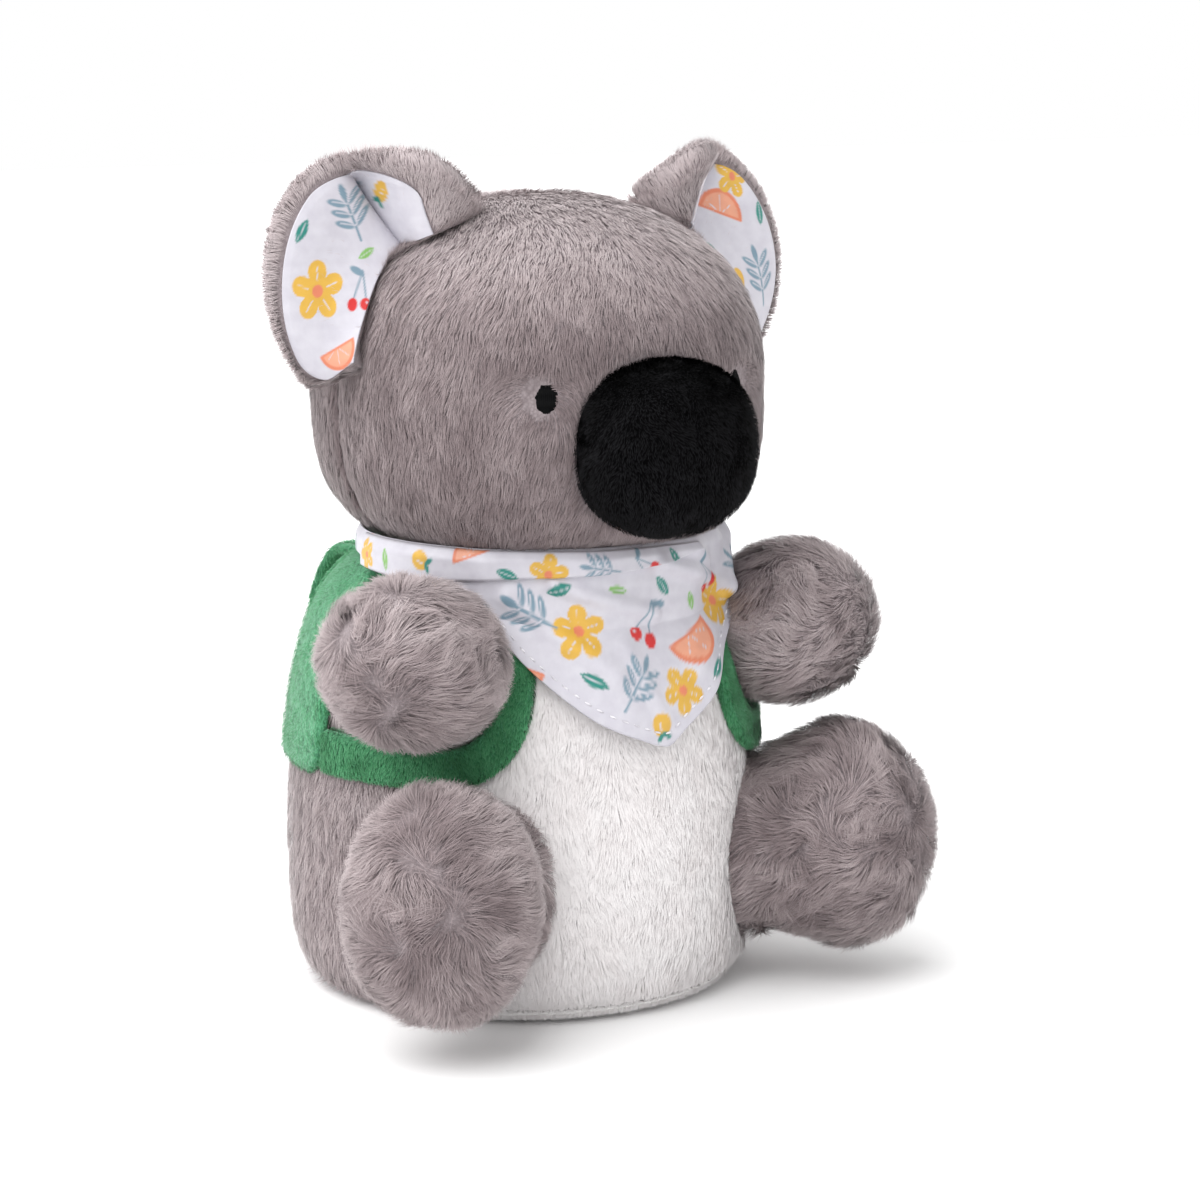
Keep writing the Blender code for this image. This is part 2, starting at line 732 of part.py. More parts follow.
def build_flap():
    outline = curve_through([tuple(point) for point in flap_outline()], samples=4)

    def place(u, v):
        index = min(int(round(v * (len(outline) - 1))), len(outline) - 1)
        y, z = outline[index]
        past = max(0.0, v - FLAP_STRAIGHT_SHARE) / (1 - FLAP_STRAIGHT_SHARE)
        narrowing = 1 - FLAP_NARROWING_SHARE * past**2
        return Vector((FLAP_WIDTH * (u - 0.5) * narrowing, y, z))

    hinge = Vector((0, FLAP_HINGE_Y, FLAP_HINGE_HEIGHT))
    flap = sheet("backpack_flap", "green_minky", 6, len(outline) - 1, place, FLAP, origin=hinge)
    flap.modifiers["cloth"].offset = 1
    low, high = (Vector(point) for point in pouch_outline()[2:4])
    down = (low - high).normalized()
    outward = Vector((-down.y, down.x))
    spot = high.lerp(low, FLAP_OVERLAP_SHARE * DOT_PLACE_SHARE)
    for name, lift in (("pouch_loop_patch", GAP + DOT / 2), ("flap_hook_patch", 2 * GAP + DOT * 1.5)):
        bm = bmesh.new()
        bmesh.ops.create_cone(
            bm, cap_ends=True, segments=20, radius1=DOT_RADIUS, radius2=DOT_RADIUS, depth=DOT
        )
        tilt = math.atan2(outward.y, outward.x) - math.pi / 2
        bmesh.ops.rotate(bm, verts=bm.verts, matrix=Matrix.Rotation(tilt, 3, "X"))
        place_at = spot + outward * lift
        bmesh.ops.translate(bm, vec=(0, place_at.x, place_at.y), verts=bm.verts)
        add_object(name, bm, "white_hook_and_loop", hinge if "flap" in name else None)


def build_bandana():
    angles, drops = zip(*BANDANA_EDGE_SHARES)
    proud = MINKY + 3 * GAP

    def place(u, v):
        from_tip = math.tau * (u - 0.5)
        angle = from_tip + BANDANA_TURN
        drop = np.interp(math.degrees(abs(from_tip)), angles, drops)
        lowest = BANDANA_TOP - BANDANA_DROP * drop
        height = share_between((lowest, BANDANA_TOP), v)
        ring = math.sqrt(COLLAR_RADIUS**2 - (COLLAR_Y * math.sin(angle)) ** 2)
        collar = ring - COLLAR_Y * math.cos(angle)
        turn_share = angle / math.tau
        folds = sum(
            depth * math.exp(-(((turn_share - place) / width) ** 2))
            for place, width, depth in BANDANA_FOLD_SHARES
        )
        roll = BAND_ROLL * math.sin(math.pi * max(0.0, v - BAND_SHARE) / (1 - BAND_SHARE))
        radius = max(meridian.radius(height, proud), collar)
        return on_body(radius + BANDANA_FOLD * folds + roll, height, angle)

    sheet("bandana", "printed_satin", BANDANA_COLUMNS, BANDANA_ROWS, place, BANDANA, loop=True)


HEAD_CENTRE = TORSO_HEIGHT + NECK_GAP + HEAD_HALF_HEIGHT
EAR_HEIGHT = HEAD_CENTRE + EAR_RISE
BANDANA_TOP = TORSO_HEIGHT + BANDANA_RISE
FLAP_HINGE_HEIGHT = POUCH_BOTTOM + POUCH_HEIGHT + FLAP_HINGE_RISE
NECK_PIVOT = Vector((0, HEAD_Y, TORSO_HEIGHT + NECK_GAP))
clear_scene()
parts = collection("plush_koala")
cutters = collection("cutters")
meridian = Meridian()
FLAP_HINGE_Y = meridian.radius(FLAP_HINGE_HEIGHT, PANEL_GAP + MINKY + 2 * GAP) + FLAP / 2

limbs = {}
for side, prefix in ((-1, "right"), (1, "left")):
    arm_sizes = (ARM_ROOT_RADIUS, ARM_TIP_RADIUS, ARM_LENGTH, ARM_NECK)
    leg_sizes = (LEG_ROOT_RADIUS, LEG_TIP_RADIUS, LEG_LENGTH, LEG_NECK)
    limbs[prefix + "_arm"] = Limb(
        side, ARM_ANGLE, ARM_ROOT_OUT, ARM_HEIGHT, ARM_PITCH, arm_sizes, ARM_TALL_SHARE
    )
    limbs[prefix + "_leg"] = Limb(
        side, LEG_ANGLES[prefix], LEG_ROOT_OUT, LEG_HEIGHT, LEG_PITCH, leg_sizes, LEG_TALL_SHARE
    )
build_torso([limb.dish(name + "_dish") for name, limb in limbs.items()])
for name, limb in limbs.items():
    limb.skin(name)
    limb.filling(name + "_filling")
build_head()
build_face()
build_ear(-1, "right")
build_ear(1, "left")
build_backpack()
build_pouch()
build_flap()
build_bandana()
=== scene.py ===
"""Plush koala with a printed bandana and a small green backpack: the looks, in metres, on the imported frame."""

import math

import bmesh
import bpy
import numpy as np
from mathutils import Matrix, Vector
from mathutils.bvhtree import BVHTree


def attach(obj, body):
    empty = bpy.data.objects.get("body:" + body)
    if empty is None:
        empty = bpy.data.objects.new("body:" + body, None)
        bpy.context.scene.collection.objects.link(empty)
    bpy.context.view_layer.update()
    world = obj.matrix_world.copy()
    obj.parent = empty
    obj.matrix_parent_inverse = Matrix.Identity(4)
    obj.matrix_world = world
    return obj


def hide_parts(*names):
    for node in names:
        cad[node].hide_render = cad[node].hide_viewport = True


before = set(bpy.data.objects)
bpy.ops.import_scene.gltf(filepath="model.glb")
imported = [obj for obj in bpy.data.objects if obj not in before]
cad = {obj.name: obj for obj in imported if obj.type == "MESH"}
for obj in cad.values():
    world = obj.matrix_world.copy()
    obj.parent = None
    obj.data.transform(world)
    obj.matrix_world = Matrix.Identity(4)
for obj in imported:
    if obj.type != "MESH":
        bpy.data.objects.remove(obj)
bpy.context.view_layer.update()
MM = 0.001

# Camera, matched to the photograph
CAMERA_AZIMUTH = math.radians(-32)
CAMERA_ELEVATION = math.radians(10)
CAMERA_DISTANCE = 0.95
CAMERA_LENS = 104
CAMERA_TARGET = (0.0211, 0.100)

# The koala's own sizes, as in its CAD source
TORSO_RADIUS, TORSO_HEIGHT = 0.0622, 0.1165
TORSO_MERIDIAN_SHARES = (
    (0.80, 0.0), (0.88, 0.010), (0.93, 0.035), (0.968, 0.085), (0.992, 0.16), (1.0, 0.29), (0.99, 0.45),
    (0.968, 0.61), (0.93, 0.73), (0.872, 0.835), (0.80, 0.905), (0.70, 0.958), (0.59, 0.988), (0.46, 1.0),
)
SEAT_SEAM = 0.0035
BELLY_HALF_ANGLE = math.radians(58)
HEAD_HALF = (0.0565, 0.0595, 0.0468)
HEAD_CENTRE = Vector((0, -0.0085, 0.1638))
HEAD_PLAN_POWER, HEAD_CROWN_POWER, HEAD_JOWL_POWER = 2.2, 2.2, 3.2
HEAD_SEAM_Y = -0.002
NOSE_HALF = (0.0243, 0.018, 0.0228)
NOSE_CENTRE = Vector((0, -0.070, 0.152))
EYE_X, EYE_Z, EYE_WIDTH, EYE_TALL = 0.030, 0.1658, 0.0066, 0.0092
EAR_X, EAR_Y, EAR_Z = 0.0495, -0.0078, 0.1915
EAR_HALF_WIDTH, EAR_HALF_HEIGHT, EAR_THICKNESS = 0.0272, 0.0305, 0.0068
EAR_CUP, EAR_CLEARANCE = 0.006, 0.00125
EAR_BASE_ANGLES = (math.radians(66), math.radians(5))
EAR_EDGE_ANGLES = (math.radians(152), math.radians(-60))
LINING_SPAN_SHARES, LINING_RISE_SHARES = (0.222, 0.985), (0.0, 0.89)
ARM = dict(angle=math.radians(53), out=0.050, height=0.093, pitch=math.radians(11), tall=0.9)
ARM_SIZES = (0.0165, 0.0222, 0.0225, 0.0075)
LEG = {
    side: dict(angle=math.radians(turn), out=0.0575, height=0.0365, pitch=math.radians(6), tall=1.26)
    for side, turn in ((-1, 44), (1, 53))
}
LEG_SIZES = (0.0198, 0.0228, 0.0300, 0.0085)
MINKY, PANEL_GAP, GAP = 0.003, 0.0005, 0.0003
PANEL_EDGE_ANGLE = math.radians(86)
PANEL_BOTTOM, PANEL_TOP, PANEL_CORNER = 0.061, 0.115, 0.009
STRAP_WIDTH, STRAP_EASE, STRAP_RISE, STRAP_FALL = 0.0105, 0.0003, 0.0265, 0.0250
STRAP_TAPER_SHARE, STRAP_CORNER_SHARE = 0.76, 0.8
LIMB_CLEARANCE = 0.0007
POUCH_WALL, POUCH_WIDTH, POUCH_BACK, POUCH_DEPTH = 0.0018, 0.044, 0.043, 0.033
POUCH_BOTTOM, POUCH_HEIGHT, POUCH_CORNER_SHARE = 0.063, 0.041, 0.32
FLAP_WIDTH, FLAP_PROUD, FLAP_END_PROUD, FLAP_OVERHANG = 0.048, 0.0034, 0.0023, 0.0017
FLAP_HINGE_OUT, FLAP_HINGE_RISE = 0.0009, 0.0052
POUCH_OUTLINE_SHARES = ((0, 0), (0.88, 0), (1, 0.17), (0.9, 0.75), (0.62, 1), (0, 1))
BANDANA_TOP, BANDANA_DROP = 0.1245, 0.0515
BANDANA_TURN = math.radians(4)
COLLAR_RADIUS, COLLAR_Y = 0.0475, -0.0085
BANDANA_FOLD = 0.0016
BANDANA_FOLD_SHARES = ((-0.115, 0.016, 0.7), (-0.03, 0.02, 0.5), (0.055, 0.018, 0.8), (0.105, 0.014, 1.0))

# What the soft finish adds to the CAD sizes. -X is the koala's right, and its face lies ahead of FACE_Y
SIDES = ((-1, "right"), (1, "left"))
FACE_Y = -0.03
SKIN, SATIN, COTTON, FLAP = 0.0022, 0.0006, 0.0009, 0.0018
# The stitched eye: its share of the CAD eye, its shift inwards and down, its mound and its rows of thread
EYE_SHARES, EYE_IN, EYE_DOWN, EYE_MOUND, EYE_SUNK = (0.43, 0.46), 0.0010, 0.0020, 0.0012, 0.0003
THREAD_ROW, THREAD_RELIEF = 0.00045, 0.00006
# How deep a seam or stitch draws the skin in, and how far from it that reaches
HEAD_SEAM_DIP, EYE_DIP = (0.0014, 0.0022), (0.0022, 0.0062)
PANEL_SEAM_DIP, SEAT_SEAM_DIP = (0.0013, 0.0026), (0.0011, 0.0024)
LIMB_ROOT_DIP, LIMB_SEAM_DIP = (0.002, 0.004), (0.0009, 0.002)
# How far the filling pushes a skin out while the cloth settles, and in how many frames
HEAD_SWELL, BELLY_SWELL, BACK_SWELL, LIMB_SWELL, SETTLE_FRAMES = 0.0009, 0.0009, 0.0006, 0.0008, 20
# How uneven the filling makes a skin: how far, over what wavelength, and which of drift's four values
HEAD_UNEVEN, TORSO_UNEVEN, LIMB_UNEVEN = (0.0006, 0.03, 0), (0.0007, 0.035, 1), (0.0006, 0.02, 2)
HEM, STITCH_PITCH, STITCH_HALF = 0.0036, 0.0034, (0.0011, 0.00028, 0.00025, 1)
# Pile lengths in millimetres
HEAD_PILE, BODY_PILE, EAR_PILE, LIMB_PILE, SEAT_PILE, NOSE_PILE, MINKY_PILE = 5.6, 5.5, 4.0, 7.0, 2.0, 1.7, 2.0
# How deep a blade of pile is rooted, half of the shortest one, and how far it stays over the floor
PILE_ROOT, PILE_SHORTEST, PILE_FLOOR = 0.0002, 0.0002, 0.0002
PILE_START = 0.0006  # where on its way a blade is first tested for what it would meet


# ---------------------------------------------------------------- materials


def linear(code):
    """An sRGB hex value as linear red, green, blue."""
    shares = [int(code[i : i + 2], 16) / 255 for i in (1, 3, 5)]
    return tuple(c / 12.92 if c <= 0.04045 else ((c + 0.055) / 1.055) ** 2.4 for c in shares)


def node(tree, kind, values=None, links=None, **settings):
    """Adds a node with its settings, its socket values and its links."""
    made = tree.nodes.new(kind)
    for name, value in settings.items():
        setattr(made, name, value)
    for name, value in (values or {}).items():
        made.inputs[name].default_value = value
    for name, source in (links or {}).items():
        tree.links.new(source, made.inputs[name])
    return made


def new_material(name, roughness, sheen=0.0, gloss=0.5, sheen_roughness=0.5):
    made = bpy.data.materials.new(name)
    made.use_nodes = True
    shader = made.node_tree.nodes["Principled BSDF"]
    shader.inputs["Roughness"].default_value = roughness
    shader.inputs["Sheen Weight"].default_value = sheen
    shader.inputs["Sheen Roughness"].default_value = sheen_roughness
    shader.inputs["Specular IOR Level"].default_value = gloss
    return made, made.node_tree, shader


def ramp(tree, source, stops):
    """The colour that (place, hex) stops give a value."""
    made = node(tree, "ShaderNodeValToRGB", links={0: source})
    elements = made.color_ramp.elements
    while len(elements) < len(stops):
        elements.new(0.5)
    for element, (place, code) in zip(elements, stops):
        element.position = place
        element.color = (*linear(code), 1)
    return made.outputs[0]


def set_colour(tree, shader, colour, times=None):
    """Sets the base colour, multiplied by another where there is one."""
    if times:
        mixed = node(
            tree, "ShaderNodeMix", {0: 1.0}, {6: colour, 7: times}, data_type="RGBA", blend_type="MULTIPLY"
        )
        colour = mixed.outputs[2]
    tree.links.new(colour, shader.inputs["Base Color"])


def set_bump(tree, shader, height, strength, distance, invert=False):
    bump = node(
        tree, "ShaderNodeBump", {"Strength": strength, "Distance": distance}, {"Height": height}, invert=invert
    )
    tree.links.new(bump.outputs[0], shader.inputs["Normal"])


def rows_of_thread(tree, place, thread_mm, distortion):
    """Ridges one thread wide, stacked upwards."""
    values = {"Scale": 1000 / thread_mm / 20, "Distortion": distortion}
    return node(tree, "ShaderNodeTexWave", values, {"Vector": place}, bands_direction="Z").outputs["Fac"]


def pile_material(name, root_to_tip, tones, roughness, sheen, gloss=0.25):
    """Pile: colour runs along each fibre (U), and each tuft has its own tone (V)."""
    made, tree, shader = new_material(name, roughness, sheen, gloss)
    uv = node(tree, "ShaderNodeUVMap", uv_map="OFBake")
    split = node(tree, "ShaderNodeSeparateXYZ", links={0: uv.outputs[0]})
    set_colour(tree, shader, ramp(tree, split.outputs[0], root_to_tip), ramp(tree, split.outputs[1], tones))
    return made


def backing_material(name, dark, light, knit_mm, roughness, sheen, gloss=0.3):
    """Knitted backing seen between the tufts: small loops, darker between the loops where the bump dips, as
    painted shade, more so in patches.
    """
    made, tree, shader = new_material(name, roughness, sheen, gloss)
    place = node(tree, "ShaderNodeTexCoord").outputs["Object"]
    loops = node(tree, "ShaderNodeTexVoronoi", {"Scale": 1000 / knit_mm}, {"Vector": place}).outputs["Distance"]
    patches = node(tree, "ShaderNodeTexNoise", {"Scale": 140, "Detail": 4}, {"Vector": place}).outputs["Fac"]
    both = node(tree, "ShaderNodeMath", {2: 0.2}, {0: loops, 1: patches}, operation="MULTIPLY_ADD")
    set_colour(tree, shader, ramp(tree, both.outputs[0], ((0.25, light), (0.75, dark))))
    set_bump(tree, shader, loops, 0.6, 0.0004, invert=True)
    return made


def woven_material(name, attribute, thread_mm, roughness, sheen, bump_mm):
    """Printed cloth: its ink from an attribute, over a fine plain weave."""
    made, tree, shader = new_material(name, roughness, sheen, sheen_roughness=0.3)
    ink = node(tree, "ShaderNodeAttribute", attribute_name=attribute)
    place = node(tree, "ShaderNodeTexCoord").outputs["Object"]
    slubs = node(tree, "ShaderNodeTexNoise", {"Scale": 260, "Detail": 3}, {"Vector": place})
    wear = ramp(tree, slubs.outputs["Fac"], ((0.3, "#f3f2f4"), (0.7, "#ffffff")))
    set_colour(tree, shader, ink.outputs["Color"], wear)
    set_bump(tree, shader, rows_of_thread(tree, place, thread_mm, 0.4), 0.35, bump_mm * MM)
    return made


def thread_material(name, dark, light, thread_mm, roughness):
    """Rayon or polyester thread laid in rows, darker between the rows where the bump dips: painted shade."""
    made, tree, shader = new_material(name, roughness, gloss=0.12)
    place = node(tree, "ShaderNodeTexCoord").outputs["Object"]
    rows = rows_of_thread(tree, place, thread_mm, 0.5)
    set_colour(tree, shader, ramp(tree, rows, ((0.1, dark), (0.8, light))))
    set_bump(tree, shader, rows, 0.8, 0.0003)
    return made


def stops(places, *codes):
    return tuple(zip(places, codes))


def make_materials():
    tufts, whole = (0.0, 0.4, 1.0), (0.0, 0.5, 1.0)
    # Pile: root, middle and tip of a fibre, darker towards the root as painted shade deep in the pile, then the
    # tones of dark, plain and light tufts
    piles = {
        "grey_pile": (
            "grey_polyester_long_pile", stops(tufts, "#857b7f", "#bfb5b6", "#e2d9da"),
            stops(whole, "#a69c9d", "#dfd8d8", "#fbf8f8"), 0.8, 0.25,
        ),
        "white_pile": (
            "white_polyester_short_pile", stops(tufts, "#efecec", "#f4f2f2", "#f8f6f6"),
            stops(whole, "#f4f0ef", "#fdfbfb", "#ffffff"), 0.85, 0.2,
        ),
        "black_pile": (
            "black_velour_pile", stops(whole, "#09090a", "#161618", "#29292c"),
            stops((0.0, 1.0), "#808080", "#ffffff"), 0.85, 0.0, 0.1,
        ),
        "green_pile": (
            "green_minky_short_pile", stops(tufts, "#276b41", "#3b915e", "#86cb9f"),
            stops(whole, "#7b9c86", "#d2e4d7", "#ffffff"), 0.75, 0.12,
        ),
    }
    # Knits: dark, light, size of a loop in millimetres, roughness, sheen and gloss
    backings = {
        # The grey knit is dark like the fibres' roots: painted shade deep in the pile between the tufts
        "grey_backing": ("grey_knitted_pile_backing", "#7d7274", "#9c9193", 0.9, 0.95, 0.1),
        "white_backing": ("white_knitted_pile_backing", "#f2efee", "#fbf9f8", 0.9, 0.95, 0.05),
        "black_backing": ("black_knitted_velour", "#030303", "#080809", 0.7, 0.95, 0.0, 0.04),
        "green_backing": ("green_knitted_minky", "#3b7a57", "#5aa77a", 0.7, 0.85, 0.3),
        "filling": ("polyester_fibre_filling", "#d8d8d6", "#f2f2f0", 1.6, 0.95, 0.3),
        "bag_cloth": ("unbleached_cotton_calico", "#b3a98f", "#cfc6ae", 0.6, 0.9, 0.1),
        "hook_and_loop": ("white_nylon_hook_and_loop", "#b9b9b4", "#e6e6e1", 0.5, 0.6, 0.2),
    }
    return {
        **{key: pile_material(*values) for key, values in piles.items()},
        **{key: backing_material(*values) for key, values in backings.items()},
        "satin": woven_material("printed_polyester_satin", "print", 0.5, 0.42, 0.25, 0.12),
        "black_thread": thread_material("black_rayon_satin_stitch", "#020203", "#080809", 0.45, 0.85),
        "white_thread": thread_material("white_polyester_sewing_thread", "#cfccd3", "#efedf2", 0.3, 0.5),
    }


# ---------------------------------------------------------------- shapes


def linked(name, data):
    obj = bpy.data.objects.new(name, data)
    bpy.context.scene.collection.objects.link(obj)
    return obj


def ready(piece, body, slot, nodes=()):
    """Tells the frame what a finished piece rides on and hides the nodes it stands for; slot is not used."""
    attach(piece, body)
    if nodes:
        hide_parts(*nodes)
    return piece


def vectors(items, name="co", kind=float):
    """A three-valued property of a mesh's vertices or triangles, one row each."""
    found = np.empty(len(items) * 3, kind)
    items.foreach_get(name, found)
    return found.reshape(-1, 3)


def from_bmesh(name, bm, material, doubles=1e-6):
    bmesh.ops.remove_doubles(bm, verts=bm.verts, dist=doubles)
    bmesh.ops.recalc_face_normals(bm, faces=bm.faces)
    mesh = bpy.data.meshes.new(name)
    bm.to_mesh(mesh)
    bm.free()
    mesh.materials.append(material)
    mesh.shade_smooth()
    return linked(name, mesh)


def close_holes(bm, doubles):
    bmesh.ops.remove_doubles(bm, verts=bm.verts, dist=doubles)
    bmesh.ops.holes_fill(bm, edges=[edge for edge in bm.edges if edge.is_boundary], sides=0)


def applied(obj, kind, **settings):
    """Adds a modifier and applies it."""
    modifier = obj.modifiers.new(kind, kind)
    for name, value in settings.items():
        setattr(modifier, name, value)
    bpy.ops.object.select_all(action="DESELECT")
    obj.select_set(True)
    bpy.context.view_layer.objects.active = obj
    bpy.ops.object.modifier_apply(modifier=modifier.name)
    return obj


def grid_bmesh(columns, rows, place):
    """A grid of quads laid by place(u, v), u and v from 0 to 1."""
    bm = bmesh.new()
    points = [
        [bm.verts.new(place(i / columns, j / rows)) for i in range(columns + 1)] for j in range(rows + 1)
    ]
    for low, high in zip(points, points[1:]):
        for i in range(columns):
            bm.faces.new((low[i], low[i + 1], high[i + 1], high[i]))
    return bm


def two_faced(columns, rows, place):
    """The front and the back of a soft flat piece, laid by place(u, v, sign)."""
    bm = grid_bmesh(columns, rows, lambda u, v: place(u, v, 1))
    other = grid_bmesh(columns, rows, lambda u, v: place(u, v, -1))
    scratch = bpy.data.meshes.new("back_face")
    other.to_mesh(scratch)
    other.free()
    bm.from_mesh(scratch)
    bpy.data.meshes.remove(scratch)
    return bm


def swell(distance, half):
    """How thick a pillow is at a distance from its edge, as a share of half its thickness."""
    return math.sqrt(max(0.0, 1 - (1 - min(1.0, distance / half)) ** 2))


def between(limits, share):
    return limits[0] + (limits[1] - limits[0]) * share


def signed_power(value, power):
    return math.copysign(abs(value) ** power, value)


def smooth_step(value, low, high):
    t = np.clip((value - low) / (high - low), 0, 1)
    return t * t * (3 - 2 * t)


LATTICE_SIZE = 32
LATTICE = np.random.default_rng(7).uniform(-1, 1, (LATTICE_SIZE, LATTICE_SIZE, LATTICE_SIZE, 4))


def drift(points, wavelength):
    """Smooth random values, four of them per point, that change over a wavelength in metres."""
    scaled = np.asarray(points) / wavelength + 40.5
    cell = np.floor(scaled).astype(int)
    part = scaled - cell
    part = part * part * (3 - 2 * part)
    total = np.zeros((len(scaled), 4))
    for dx in (0, 1):
        for dy in (0, 1):
            for dz in (0, 1):
                corner = (cell + (dx, dy, dz)) % LATTICE_SIZE
                weight = np.prod(np.where((dx, dy, dz), part, 1 - part), axis=1)
                total += LATTICE[corner[:, 0], corner[:, 1], corner[:, 2]] * weight[:, None]
    return total


def curve_through(points, samples=8):
    """A smooth curve through points, with so many samples between each two."""
    ends = [points[0], *points, points[-1]]
    curve = []
    for before, a, b, after in zip(ends, ends[1:], ends[2:], ends[3:]):
        before, a, b, after = (np.array(p, float) for p in (before, a, b, after))
        for i in range(samples):
            t = i / samples
            curve.append(
                (2 * t**3 - 3 * t**2 + 1) * a
                + (t**3 - 2 * t**2 + t) * (b - before) / 2
                + (3 * t**2 - 2 * t**3) * b
                + (t**3 - t**2) * (after - a) / 2
            )
    curve.append(np.array(points[-1], float))
    return np.array(curve)


class Meridian:
    """The torso's outline from its flat base to its neck, by distance along it."""

    def __init__(self):
        self.points = curve_through([(r * TORSO_RADIUS, z * TORSO_HEIGHT) for r, z in TORSO_MERIDIAN_SHARES])
        steps = np.diff(self.points, axis=0)
        self.along = np.concatenate([[0], np.cumsum(np.hypot(*steps.T))])
        tangent = np.gradient(self.points, self.along, axis=0)
        tangent /= np.hypot(*tangent.T)[:, None]
        self.normals = np.stack([tangent[:, 1], -tangent[:, 0]], axis=1)
        self.length = self.along[-1]

    def at(self, along, proud=0.0):
        lifted = self.points + self.normals * proud
        return np.interp(along, self.along, lifted[:, 0]), np.interp(along, self.along, lifted[:, 1])

    def along_at(self, height):
        return np.interp(height, self.points[:, 1], self.along)

    def radius(self, height, proud=0.0):
        lifted = self.points + self.normals * proud
        return np.interp(height, lifted[:, 1], lifted[:, 0])


meridian = Meridian()
SEAM_ALONG = float(meridian.along_at(SEAT_SEAM))


def on_body(radius, height, angle):
    """The point at an angle from straight ahead, towards the koala's left."""
    return Vector((radius * math.sin(angle), -radius * math.cos(angle), height))


def head_point(across, up, grow=0.0):
    """The head's surface at a longitude (from +X) and a latitude, grown outwards."""
    power = HEAD_CROWN_POWER if up >= 0 else HEAD_JOWL_POWER
    level = signed_power(math.sin(up), 2 / power)
    reach = abs(math.cos(up)) ** (2 / power)
    return Vector(
        (
            (HEAD_HALF[0] + grow) * reach * signed_power(math.cos(across), 2 / HEAD_PLAN_POWER),
            HEAD_CENTRE.y + (HEAD_HALF[1] + grow) * reach * signed_power(math.sin(across), 2 / HEAD_PLAN_POWER),
            HEAD_CENTRE.z + (HEAD_HALF[2] + grow) * level,
        )
    )


def pull(distance, width):
    """How far a seam or stitch pulls the cloth in at a distance from it, as a share."""
    return math.exp(-((distance / width) ** 2))


def dip(distance, shape):
    """The same as a depth, from a shape of (depth, width)."""
    return shape[0] * pull(distance, shape[1])


def bell(distances, width):
    """The same as pull, for many distances."""
    return np.exp(-((distances / width) ** 2))


def filled(point, outwards, uneven, depth):
    """A skin's point, pushed out unevenly by the filling and drawn in by a depth."""
    reach, wavelength, value = uneven
    return point + outwards * (reach * drift([tuple(point)], wavelength)[0][value] - depth)


# ---------------------------------------------------------------- padded skins


def head_half(name, side, material):
    """Half of the head's padded skin, drawn in at the seam and at the eyes."""
    bm = bmesh.new()
    bmesh.ops.create_uvsphere(bm, u_segments=96, v_segments=64, radius=1)
    for vertex in bm.verts:
        ball = vertex.co
        across, up = math.atan2(ball.y, ball.x), math.asin(max(-1.0, min(1.0, ball.z)))
        point = head_point(across, up)
        outwards = (head_point(across, up, MM) - point).normalized()
        depth = dip(point.y - HEAD_SEAM_Y, HEAD_SEAM_DIP)
        if point.y < HEAD_CENTRE.y:
            for eye in (-1, 1):
                depth += dip(math.hypot(point.x - eye * EYE_X, point.z - EYE_Z), EYE_DIP)
        vertex.co = filled(point, outwards, HEAD_UNEVEN, depth)
    seam, everything = (0, HEAD_SEAM_Y + side * GAP / 2, 0), bm.verts[:] + bm.edges[:] + bm.faces[:]
    bmesh.ops.bisect_plane(
        bm, geom=everything, dist=1e-6, plane_co=seam, plane_no=(0, -side, 0), clear_outer=True
    )
    return from_bmesh(name, bm, material)


def torso_skin(name, start, end, material, columns):
    """A panel of the body's skin between two angles, drawn in at its seams and at the limbs' roots."""
    roots = [(on_body(ARM["out"], ARM["height"], s * ARM["angle"]), ARM_SIZES[0]) for s, _ in SIDES]
    roots += [(on_body(LEG[s]["out"], LEG[s]["height"], s * LEG[s]["angle"]), LEG_SIZES[0]) for s, _ in SIDES]

    def place(u, v):
        along, angle = between((SEAM_ALONG, meridian.length), v), between((start, end), u)
        point = on_body(*meridian.at(along), angle)
        outwards = (on_body(*meridian.at(along, MM), angle) - point).normalized()
        depth = sum(dip((angle - edge) * TORSO_RADIUS, PANEL_SEAM_DIP) for edge in (start, end))
        depth += dip(along - SEAM_ALONG, SEAT_SEAM_DIP)
        for centre, reach in roots:
            depth += dip(max(0.0, (point - centre).length - reach), LIMB_ROOT_DIP)
        return filled(point, outwards, TORSO_UNEVEN, depth)

    return from_bmesh(name, grid_bmesh(columns, 44, place), material)


def settle(skins):
    """Cloth simulation: the filling pushes each skin out between its pinned seams, up to a limit.

    skins holds (object, pinned(points, edge), limit in metres); the skins keep the settled shape."""
    scene = bpy.context.scene
    for obj, pinned, _ in skins:
        edge = np.zeros(len(obj.data.vertices), bool)
        bm = bmesh.new()
        bm.from_mesh(obj.data)
        edge[[v.index for v in bm.verts if v.is_boundary]] = True
        bm.free()
        seams = obj.vertex_groups.new(name="seams")
        seams.add(np.flatnonzero(pinned(vectors(obj.data.vertices), edge)).tolist(), 1, "REPLACE")
        cloth = obj.modifiers.new("cloth", "CLOTH")
        cloth.settings.vertex_group_mass = "seams"
        cloth.settings.use_pressure = True
        cloth.settings.uniform_pressure_force = 4
        cloth.settings.effector_weights.gravity = 0
        cloth.settings.quality = 5
        cloth.collision_settings.use_collision = False
        cloth.point_cache.frame_start, cloth.point_cache.frame_end = 1, SETTLE_FRAMES
    for number in range(1, SETTLE_FRAMES + 1):
        scene.frame_set(number)
    graph = bpy.context.evaluated_depsgraph_get()
    for obj, _, limit in skins:
        before = vectors(obj.data.vertices)
        moved = vectors(obj.evaluated_get(graph).data.vertices) - before
        reach = np.linalg.norm(moved, axis=1).max()
        settled = before + moved * min(1.0, limit / max(reach, 1e-9))
        obj.modifiers.clear()
        obj.vertex_groups.clear()
        obj.data.vertices.foreach_set("co", settled.ravel())
        obj.data.update()
    scene.frame_set(1)


